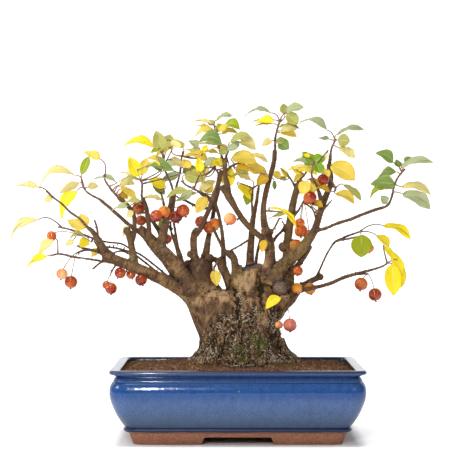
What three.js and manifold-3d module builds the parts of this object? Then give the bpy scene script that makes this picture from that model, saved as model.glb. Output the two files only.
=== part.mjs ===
// A crabapple bonsai in autumn leaf and fruit, in an oblong glazed pot. Millimetres, +Z up.
import * as THREE from "three";
import { mergeVertices } from "three/addons/utils/BufferGeometryUtils.js";
import Module from "manifold-3d";

// ---- driving dimensions --------------------------------------------------------------------

const POT_LENGTH = 407;
const POT_WIDTH = 290;
const POT_HEIGHT = 120;
const POT_FLOOR = 10; // thickness of the pot's floor
const FOOT_HEIGHT = 14; // the underside is this far off the ground
const NOTCH_HEIGHT = 12.3; // arch between two feet
const NOTCH_FRONT = 116; // its width at the ground, front and back
const NOTCH_SIDE = 90; // the same at the ends
const NOTCH_SLOPE = 5; // how far each end of the arch leans
const DRAIN_DIAMETER = 24;
const DRAIN_SPACING = 160;
const MESH_SIZE = 44; // plastic drainage mesh over each hole
const MESH_THICKNESS = 1.2;
const MESH_OPENING = 15;
const MESH_BAR = 5;
const SOIL_EDGE = 113.5; // height of the soil at the pot's wall
const SOIL_CROWN = 127; // and round the trunk
const GAP = 0.3; // left between two pieces that rest on each other
const JOINT_GAP = 0.4; // left between a limb and the stem that carries on from it
const CORNER_STEPS = 3; // facets round each corner of the pot

const BLADE_THICKNESS = 0.8;
const PETIOLE_RADIUS = 0.7;
const LONG_STALK = 22; // from this length a stalk is bowed
const SHORTEST_STALK = 3; // a leaf nearer to its stem sits right on it
const SHARP_BEND = 1.1; // radians between stalk and blade from which the stalk is bowed
const STALK_RADIUS = 0.75;
const SPUR_RADIUS = 1.6; // short shoot that bears leaves or fruit
const STEM_RADIUS = 2.2; // last, leafy part of a limb, where it starts
const BUD_RADIUS = 1.4; // its last, living joint
const BUD_LENGTH = 3.5;

// The tree is laid out on a front elevation drawn in perspective: a grid of squares seen from an
// eye point in front of the pot's centre. A place is its column, its row and its depth in mm.
const EYE = new THREE.Vector3(-18.75, -2645, 347);
const GRID_FOCUS = 1600;
const GRID_CENTRE = 226;
const MM_PER_SQUARE = -EYE.y / GRID_FOCUS; // at the pot's centre
const TREE_OFFSET = 29.8; // the crown reaches further left, so the pot stands right of the middle

// ---- solids ----------------------------------------------------------------------------------

const wasm = await Module();
wasm.setup();

function solidOf(geometry) {
  const bare = geometry.clone();
  bare.deleteAttribute("normal");
  bare.deleteAttribute("uv");
  const merged = mergeVertices(bare, 1e-4);
  const faces = [];
  const corner = merged.index.array;
  for (let i = 0; i < corner.length; i += 3) {
    const [a, b, c] = corner.slice(i, i + 3);
    if (a !== b && b !== c && c !== a) faces.push(a, b, c);
  }
  const mesh = new wasm.Mesh({
    numProp: 3,
    vertProperties: merged.attributes.position.array,
    triVerts: new Uint32Array(faces),
  });
  return new wasm.Manifold(mesh);
}

function geometryOf(solid) {
  const { vertProperties, triVerts } = solid.getMesh();
  const geometry = new THREE.BufferGeometry();
  geometry.setAttribute("position", new THREE.BufferAttribute(vertProperties, 3));
  geometry.setIndex(new THREE.BufferAttribute(triVerts, 1));
  geometry.computeVertexNormals();
  return geometry;
}

const union = (solids) => wasm.Manifold.union(solids);

function box(sizeX, sizeY, sizeZ, x, y, z) {
  return new THREE.BoxGeometry(sizeX, sizeY, sizeZ).translate(x, y, z);
}

function at(column, row, depth) {
  const scale = (depth - EYE.y) / GRID_FOCUS;
  return new THREE.Vector3(
    EYE.x + (column - GRID_CENTRE) * scale,
    depth,
    EYE.z - (row - GRID_CENTRE) * scale,
  );
}

// Bends a unit cylinder along a curve: radiusAt(t) gives its radius there.
function bend(curve, radiusAt, sides, steps) {
  const geometry = new THREE.CylinderGeometry(1, 1, 1, sides, steps);
  const place = geometry.attributes.position;
  const frames = [];
  let side = new THREE.Vector3(0, -1, 0);
  for (let i = 0; i <= steps; i++) {
    const along = curve.getTangent(i / steps).normalize();
    side = side.clone().addScaledVector(along, -side.dot(along)).normalize();
    const middle = curve.getPoint(i / steps);
    frames.push({ middle, side, other: side.clone().cross(along) });
  }
  for (let i = 0; i < place.count; i++) {
    const t = place.getY(i) + 0.5;
    const ring = frames[Math.round(t * steps)];
    const radius = radiusAt(t);
    const point = ring.middle.clone().addScaledVector(ring.side, place.getX(i) * radius);
    point.addScaledVector(ring.other, place.getZ(i) * radius);
    place.setXYZ(i, point.x, point.y, point.z);
  }
  return geometry;
}

const curveThrough = (points) => new THREE.CatmullRomCurve3(points, false, "centripetal");

// A value at t between evenly counted stations.
function between(stations, t) {
  const place = Math.min(t, 0.9999) * (stations.length - 1);
  const i = Math.floor(place);
  return THREE.MathUtils.lerp(stations[i], stations[i + 1], place - i);
}

// ---- pot, drainage mesh and soil -------------------------------------------------------------

const AXIS = null; // inset of a ring that closes on the axis

// A rounded oblong lathe: each ring is [inset from the pot's outer size, height, corner radius].
function tub(rings) {
  const rows = rings.map(([inset, height]) => {
    const radius = inset === AXIS ? 0 : POT_WIDTH / 2 - inset;
    return new THREE.Vector2(radius, height);
  });
  const around = 4 * (CORNER_STEPS + 1);
  const geometry = new THREE.LatheGeometry(rows, around);
  const place = geometry.attributes.position;
  for (let i = 0; i < place.count; i++) {
    const turn = Math.floor(i / rings.length) % around;
    const [inset, height, radius] = rings[i % rings.length];
    if (inset === AXIS) {
      place.setXYZ(i, 0, 0, height);
      continue;
    }
    const quarter = Math.floor(turn / (CORNER_STEPS + 1));
    const step = turn % (CORNER_STEPS + 1);
    const angle = (Math.PI / 2) * (quarter - 1 + step / CORNER_STEPS);
    const signX = quarter < 2 ? 1 : -1;
    const signY = quarter === 0 || quarter === 3 ? -1 : 1;
    const x = signX * (POT_LENGTH / 2 - inset - radius) + radius * Math.cos(angle);
    const y = signY * (POT_WIDTH / 2 - inset - radius) + radius * Math.sin(angle);
    place.setXYZ(i, x, y, height);
  }
  return geometry;
}

const WALL_INSIDE = [
  [17, 109, 14],
  [13, 88, 18],
  [18, 61, 16],
  [34, 28, 10],
  [40, FOOT_HEIGHT + POT_FLOOR, 6],
];

function potSolid() {
  const outside = [
    [AXIS, FOOT_HEIGHT, 0],
    [50, FOOT_HEIGHT, 8],
    [48, 0, 10],
    [37, 0, 16],
    [31, 18, 17],
    [27, 20, 17],
    [22, 24, 20],
    [23.5, 28, 20],
    [13, 45, 24],
    [5, 62, 28],
    [0, 81, 30],
    [0.8, 89, 30],
    [5, 97, 28],
    [10, 101.5, 26],
    [10, 107, 25],
    [2, 109.5, 22],
    [0, 113, 22],
    [0, 117, 22],
    [1.5, POT_HEIGHT, 20],
    [16, POT_HEIGHT - 1, 14],
  ];
  const shell = solidOf(tub([...outside, ...WALL_INSIDE, [AXIS, FOOT_HEIGHT + POT_FLOOR, 0]]));
  const arches = [
    arch(NOTCH_FRONT, POT_WIDTH + 20),
    arch(NOTCH_SIDE, POT_LENGTH + 20).rotateZ(Math.PI / 2),
  ];
  const holes = [-1, 1].map((side) =>
    new THREE.CylinderGeometry(DRAIN_DIAMETER / 2, DRAIN_DIAMETER / 2, 60, 16)
      .rotateX(Math.PI / 2)
      .translate((side * DRAIN_SPACING) / 2, 0, FOOT_HEIGHT),
  );
  return shell.subtract(union([...arches, ...holes].map(solidOf)));
}

// The slanted opening between two feet, through the whole pot.
function arch(width, length) {
  const outline = new THREE.Shape()
    .moveTo(-width / 2, -1)
    .lineTo(width / 2, -1)
    .lineTo(width / 2 - NOTCH_SLOPE, NOTCH_HEIGHT)
    .lineTo(-width / 2 + NOTCH_SLOPE, NOTCH_HEIGHT);
  const prism = new THREE.ExtrudeGeometry(outline, { depth: length, bevelEnabled: false });
  return prism.rotateX(Math.PI / 2).translate(0, length / 2, 0);
}

function drainMesh(x) {
  const middle = FOOT_HEIGHT + POT_FLOOR + GAP + MESH_THICKNESS / 2;
  const plate = solidOf(box(MESH_SIZE, MESH_SIZE, MESH_THICKNESS, x, 0, middle));
  const pitch = MESH_OPENING + MESH_BAR;
  const openings = [];
  for (const row of [-0.5, 0.5]) {
    for (const column of [-0.5, 0.5]) {
      const opening = box(MESH_OPENING, MESH_OPENING, 10, x + column * pitch, row * pitch, middle);
      openings.push(solidOf(opening));
    }
  }
  return plate.subtract(union(openings));
}

function soilSolid(rootCollar) {
  const floor = FOOT_HEIGHT + POT_FLOOR + GAP;
  const wall = WALL_INSIDE.slice(0, -1).map(([inset, height, radius]) => [inset + 0.5, height, radius]);
  const fill = tub([
    [AXIS, floor, 0],
    [40.6, floor, 6],
    ...wall.reverse(),
    [17.6, SOIL_EDGE, 14],
    [40, SOIL_EDGE + 2, 20],
    [85, SOIL_EDGE + 8, 30],
    [AXIS, SOIL_CROWN, 0],
  ]);
  const room = MESH_SIZE + 2 * GAP;
  const height = MESH_THICKNESS + 2 * GAP;
  const recesses = [-1, 1].map((side) =>
    box(room, room, 2 * height, (side * DRAIN_SPACING) / 2, 0, FOOT_HEIGHT + POT_FLOOR),
  );
  return solidOf(fill).subtract(union([...recesses.map(solidOf), rootCollar]));
}

// ---- trunk and branches ----------------------------------------------------------------------

// The trunk's outline from the roots up: row, left column, right column, half its thickness.
const TRUNK = [
  [374, 198, 292, 46],
  [365, 189, 299, 70],
  [358, 189, 299, 72],
  [350, 197, 290, 62],
  [340, 198, 285, 57],
  [330, 195, 281, 55],
  [320, 191.5, 277, 54],
  [310, 188, 280, 54],
  [300, 185.5, 285, 48],
  [290, 197, 282, 36],
];
const TRUNK_SIDES = 18;
const FLUTES = 5;
const FLUTE_DEPTH = 0.06;

// Lofts the trunk's outline. A skin over 0 gives the hole that it stands in.
function trunkMass(skin) {
  const geometry = new THREE.CylinderGeometry(1, 1, 1, TRUNK_SIDES, TRUNK.length - 1);
  const place = geometry.attributes.position;
  for (let i = 0; i < place.count; i++) {
    const [row, left, right, thick] = TRUNK[Math.round((place.getY(i) + 0.5) * (TRUNK.length - 1))];
    const x = place.getX(i);
    const depth = -place.getZ(i);
    const turn = Math.atan2(depth, x);
    const flute = 1 + FLUTE_DEPTH * (Math.cos(FLUTES * turn + row / 30) - Math.abs(x));
    const reach = Math.hypot(x, depth) * (x || depth ? 1 : 0);
    const wide = ((right - left) / 2) * MM_PER_SQUARE * flute + skin * reach;
    const middle = at((left + right) / 2, row, 0);
    const deep = thick * flute + skin * reach;
    place.setXYZ(i, middle.x + x * wide, depth * deep, middle.z);
  }
  return solidOf(geometry);
}

// Limbs and twigs, each from its root outwards: column, row, depth, width in squares.
const LIMBS = {
  left_low: [
    [212, 306, 0, 34], [200, 300, -5, 28], [186, 291, -12, 18], [170, 283, -20, 13.5],
    [155, 276, -28, 11.5], [143, 271, -34, 11], [130, 265.5, -40, 10.5], [117, 260.5, -46, 10.5],
    [108, 256, -50, 10], [104, 249, -54, 7.5], [99, 241, -58, 6], [92, 231, -62, 5],
    [88, 227.5, -66, 4.6],
  ],
  left_low_far: [[107, 257, -48, 5], [101, 253, -46, 4], [92, 250, -42, 3.2], [84, 248.5, -38, 2.8],
    [77, 245.5, -34, 2.4]],
  left_hook: [[92, 250, -42, 2.6], [85, 250, -44, 2.6], [79, 252, -46, 2.4]],
  left_down: [[109, 262, -48, 4], [101, 261, -52, 2.8], [88, 259, -58, 2.6], [74, 257, -64, 2.4]],
  left_pair: [[102, 243, -56, 3], [95, 239, -48, 2.4], [88, 236.5, -38, 2.2]],
  left_prong: [[98, 236, -59, 2.4], [97, 228, -62, 2.2], [94.5, 220, -66, 1.9]],
  left_prong_low: [[103, 256, -50, 2.6], [99, 249, -42, 2.2], [95, 242, -34, 1.9]],
  left_under: [[108, 260, -50, 2.6], [100, 263, -54, 2], [93, 269, -60, 1.9]],
  left_under_spur: [[120, 262, -46, 3], [115, 266, -50, 2.2], [112, 271, -54, 1.8]],
  whip_upper: [[180, 277, -8, 3], [170, 277, -2, 2.6], [158, 268, 2, 2.2], [144, 257, 4, 2.1],
    [132, 250, 4, 2], [122, 244, -2, 1.9], [110, 242.5, -22, 1.9], [102, 241, -44, 1.9]],
  whip_lower: [[180, 279, -12, 3], [168, 280, -10, 2.6], [157, 272, -6, 2.2], [144, 261.5, -6, 2.2],
    [132, 253, -10, 2.2], [122, 249.5, -20, 2.1], [112, 247.5, -36, 2.1], [104, 247, -50, 2.2]],
  whip_hook: [[134, 257, -14, 2], [124, 251.5, -24, 1.9], [116, 252, -36, 1.8], [110, 256, -46, 2.2]],
  low_fork: [[134, 262, -40, 9.5], [132.5, 252, -46, 7], [130.5, 242, -50, 6.4], [128, 232, -54, 7],
    [127.5, 230, -55, 5]],
  low_fork_up: [[131.5, 243, -50, 4.8], [134, 234, -48, 5.2], [134.5, 224, -44, 4.6],
    [133.5, 214, -40, 4.6], [128, 206, -34, 5], [118, 197, -26, 4.8]],
  left_main: [
    [206, 306, 0, 36], [197, 292, -6, 27], [186, 281, -10, 22], [175, 267, -14, 17],
    [166, 256, -16, 15.5], [156, 246, -16, 13.5], [149, 238, -12, 11], [142, 231, -8, 9.5],
  ],
  left_long: [
    [146, 236, -10, 6], [136, 230, -4, 5], [128, 224, 4, 4.4], [118, 215, 14, 4], [110, 208, 22, 3.6],
    [101, 200.5, 32, 3.8],
  ],
  left_rise: [[149, 240, -14, 6.5], [149, 228, -20, 5], [147.5, 216, -26, 5], [146, 207, -32, 4.6],
    [142.5, 198, -38, 4.2]],
  arm: [[160, 251, -16, 12], [162, 240, -20, 9.5], [164, 230, -24, 8.5], [166.5, 220, -26, 6.6],
    [170, 209, -28, 5.6], [172.5, 195.5, -30, 5.6]],
  arm_left: [[164, 240, -12, 7], [158.5, 230, -4, 4.8], [153, 222, 6, 4.2], [148, 214, 16, 4]],
  arm_middle: [[165, 226, -22, 4], [165.5, 214, -10, 3.6], [163.5, 203, -2, 3.4]],
  pair_left: [[184, 274, 8, 9], [181, 262, 14, 7], [178, 250, 22, 5], [174, 240, 30, 3.4],
    [171, 231, 38, 2.8], [170.5, 221, 46, 2.6]],
  pair_right: [[178.5, 251, 22, 4], [176.5, 240, 26, 3.4], [175, 229, 30, 3], [173, 218, 36, 2.8],
    [174.5, 200, 46, 2.6]],
  head: [[210, 300, 4, 34], [205, 288, 0, 28], [201, 275, -4, 26], [200.5, 264, -6, 24],
    [200, 258, -6, 18]],
  head_left: [[195, 262, -8, 9], [194, 250, -14, 7], [193.5, 240, -18, 6.8], [194.5, 233.5, -20, 8]],
  head_left_up: [[194.5, 235, -20, 6], [199.5, 231, -22, 5.4], [203.5, 222, -24, 5],
    [208, 212, -26, 5], [213, 199, -26, 6], [217, 188, -26, 5.6], [219.5, 178, -26, 4.6],
    [221.5, 170, -30, 4]],
  head_left_tip: [[218.5, 180, -26, 2.8], [218.5, 176, -22, 2.4]],
  head_right: [[203, 262, 0, 9], [206.5, 250, 4, 7], [208, 240, 10, 6], [210.5, 228, 18, 5],
    [213, 216, 26, 4.6], [215, 204, 34, 4.4], [218, 194, 42, 3.6], [220.5, 186, 50, 2.8]],
  stub: [[233, 300, -2, 16], [231, 287, -4, 11], [226, 275, -6, 9], [222, 266, -8, 10],
    [221, 262, -8, 8]],
  stub_up: [[224, 268, -8, 6], [223.5, 254, -10, 5], [223, 242, -12, 4.6], [222, 231, -12, 4],
    [220, 221, -10, 3.6], [217.5, 211, -6, 4], [214, 203, -2, 5.2], [208, 198, 6, 5.4],
    [200, 192.5, 16, 4]],
  stub_side: [[213, 208, -4, 3.2], [201, 208, 6, 3], [193, 204.5, 20, 2.8], [185, 200.5, 34, 2.6],
    [178.5, 198, 46, 2.4]],
  knee: [[236, 278, -16, 10], [235, 266, -20, 7.6], [233.5, 257.5, -22, 7.4], [230.5, 254, -22, 6.4],
    [225.5, 251.5, -22, 4.6], [221, 244, -24, 3.6], [216.5, 235.5, -28, 3.6], [213, 227, -34, 3]],
  cross_twig: [[214, 267, -22, 1.9], [221, 257.5, -25, 2], [229, 251.5, -26, 2], [239, 246, -22, 2],
    [249, 239.5, -4, 2.2]],
  stool: [[243, 306, -6, 40], [245, 292, -10, 34], [247, 280, -12, 30], [249, 269.5, -14, 27]],
  tall_left: [[250, 274, 4, 12], [250, 262, 8, 8.6], [250.5, 250, 10, 7.4], [251.5, 238, 14, 6.8],
    [252, 227, 18, 6], [253.5, 215, 24, 5.4]],
  tall_left_a: [[253.5, 216, 24, 4], [252, 206, 32, 3.2], [252, 197, 42, 2.8], [253, 190, 50, 2.8]],
  tall_left_b: [[254, 216, 24, 4.4], [256, 205, 20, 4], [257.5, 195, 14, 3.6], [259, 185, 8, 3],
    [261, 175, 4, 3]],
  slim: [[253, 279, 4, 5], [255, 272, 18, 5], [256, 262, 26, 4], [257.5, 252, 34, 3.4],
    [259.5, 243, 42, 3], [262, 232, 50, 2.6]],
  right_main: [[262, 314, -6, 34], [269, 298, -14, 24], [270.5, 282, -20, 15], [270, 266, -22, 11.5],
    [270, 252, -20, 10.5], [268.5, 241, -16, 11], [265.5, 230, -12, 8.6], [263.5, 216, -8, 6.4],
    [264, 202, -4, 5.6], [267, 188, 0, 5.6], [270.5, 175, 4, 5.2], [274, 162, 4, 5],
    [275, 150, 2, 5.2]],
  crossing: [[269, 246, -24, 7], [262, 238, -32, 6.4], [252, 229.5, -42, 6], [243.5, 220.5, -48, 6],
    [236, 209, -52, 6], [230, 198.5, -54, 7.4], [225, 191, -54, 6.6], [220.5, 186, -52, 4.6]],
  crown_stem: [[229, 198, -54, 7], [227.5, 187, -52, 6], [225, 175, -48, 4.6], [225, 166, -46, 4.6],
    [226, 158, -44, 4.8]],
  crown_left: [[225.5, 167, -46, 3], [223, 160, -38, 2.6], [220, 151, -30, 2.4]],
  crown_right: [[225.5, 172, -47, 3], [230, 167.5, -38, 2.4]],
  back_twig: [[269, 246, -14, 4], [272, 243, -4, 4], [276, 237, 6, 3.4], [281, 232, 18, 3],
    [284.5, 226, 30, 2.8], [282, 221, 38, 2]],
  small_twig: [[268, 240, -24, 3], [272, 232, -30, 2.2], [276, 225, -36, 1.9], [279.5, 218, -42, 1.8]],
  right_mass: [[258, 316, 4, 36], [271, 304, 6, 36], [279, 292, 6, 28], [284, 280, 8, 22],
    [287, 268, 12, 15], [288, 256, 16, 11.5], [287.5, 243, 20, 8.8], [289, 230, 24, 8.2],
    [291, 216, 28, 8.2], [293, 204, 34, 7.4], [296, 192, 40, 6.8], [300, 181, 48, 6]],
  right_mass_fork: [[296, 191, 40, 3.4], [293, 183, 50, 2.6], [289, 176.5, 60, 2.4]],
  right_mass_spur: [[294, 216, 28, 3.4], [299, 209.5, 22, 2.6], [303, 202, 14, 2.2]],
  right_limb: [[272, 284, -22, 20], [277, 272, -26, 15], [284, 264, -30, 13], [293, 256.5, -34, 12],
    [302, 248, -38, 11.5], [309, 239, -40, 9.4], [314.5, 230, -42, 7.4], [318.5, 218, -44, 6.8],
    [322, 206, -42, 7.2], [326, 196, -36, 6.4], [330, 186, -30, 5.6], [331, 176, -24, 5.4],
    [329.5, 166, -18, 4.2], [330.5, 155, -12, 3.6]],
  right_limb_twin: [[290, 274, -24, 8], [298, 265, -26, 5.6], [305, 256, -30, 4.6], [311, 246, -36, 4]],
  right_limb_back: [[322.5, 206, -42, 5], [320, 196, -52, 4.6], [317, 187, -62, 3.6]],
  right_limb_fork: [[320, 214, -44, 3.4], [325, 208, -50, 2.6], [332, 200, -58, 2.2]],
  right_limb_hook: [[316, 228, -42, 2.4], [315.5, 217, -50, 2.1], [312, 208.5, -58, 2],
    [305, 203.5, -64, 1.8]],
  right_arm: [[315, 231, -42, 4.4], [325, 228.5, -52, 3.6], [337, 223.5, -60, 3.4],
    [350, 219.5, -66, 3.6], [361, 215, -68, 3.4], [373, 210.5, -68, 3.4], [383, 207.5, -66, 3.6]],
  right_shoulder: [[276, 303, 2, 28], [288, 297, 10, 18], [296, 290.5, 18, 11], [305, 285, 26, 7],
    [313, 280, 32, 6], [320, 277, 38, 6]],
  right_whip: [[315, 280, 33, 3.6], [320, 269, 42, 2.6], [324.5, 259, 52, 2.6],
    [329.5, 249.5, 60, 2.6], [335.5, 241.5, 68, 2.8], [344, 237.5, 74, 2.4]],
  right_low: [[288, 296, -4, 9], [299, 291, -12, 5.4], [315, 287.5, -20, 4.2], [330, 283.5, -26, 4],
    [345, 277, -30, 4], [358, 273.5, -32, 3.6], [371, 270, -34, 3.4]],
};

const LIMB_CLASSES = [3.2, 5.5, 20]; // squares: a limb that starts wider has more faces round it
const STEP_LENGTH = 27; // mm between two rings

// Knots, callus and burrs left by old pruning: column, row, depth, width in squares.
const BIG_KNOT = 13; // one wider than this is cut rounder
const KNOTS = [
  [280, 288, -34, 14], [281, 300, -14, 19], [190, 254, -12, 7], [209, 258, -12, 9], [214, 259, -8, 6],
  [188, 264, -4, 9], [262, 232, -16, 9], [270, 232, -18, 8], [108, 256, -50, 12.5],
  [196, 232, -21, 9], [231, 254.5, -22, 9], [221, 262, -9, 11], [255, 265, -4, 9],
  [283, 247, 16, 10], [320.5, 277, 38, 6.6], [127, 231, -55, 8], [286, 274, 10, 18],
  [240, 269, -18, 9], [142, 229.5, -8, 8], [288, 301, 4, 9],
];

function limbCurve(points) {
  return curveThrough(points.map(([column, row, depth]) => at(column, row, depth)));
}

function limbSolid(points) {
  const widths = points.map(([, , , width]) => width);
  const curve = limbCurve(points);
  const sides = [3, 4, 5, 9][LIMB_CLASSES.filter((limit) => widths[0] > limit).length];
  const steps = Math.max(2, Math.round(curve.getLength() / STEP_LENGTH));
  const radius = (t) => (between(widths, t) * MM_PER_SQUARE) / 2;
  return solidOf(bend(curve, radius, sides, steps));
}

function knotSolid([column, row, depth, width]) {
  const radius = (width * MM_PER_SQUARE) / 2;
  const lump = new THREE.IcosahedronGeometry(radius, width > BIG_KNOT ? 1 : 0);
  const middle = at(column, row, depth);
  return solidOf(lump.translate(middle.x, middle.y, middle.z));
}

// ---- leaves and fruit ------------------------------------------------------------------------

const curves = Object.fromEntries(
  Object.entries(LIMBS).map(([name, points]) => [name, limbCurve(points)]),
);
const NEAREST_SAMPLES = 60;
const LAST_SPUR = 0.8; // no spur grows nearer to a limb's tip than this share of its length

// The place on a curve, between two shares of its length, that the front elevation shows nearest to
// a column and row.
function nearest(curve, column, row, from, to) {
  let best = { off: Infinity };
  for (let i = 0; i <= NEAREST_SAMPLES; i++) {
    const point = curve.getPoint(THREE.MathUtils.lerp(from, to, i / NEAREST_SAMPLES));
    const off = at(column, row, point.y).distanceTo(point);
    if (off < best.off) best = { off, point };
  }
  return best.point;
}

const nearestOn = (limb, column, row) => nearest(curves[limb], column, row, 0, LAST_SPUR);

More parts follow.
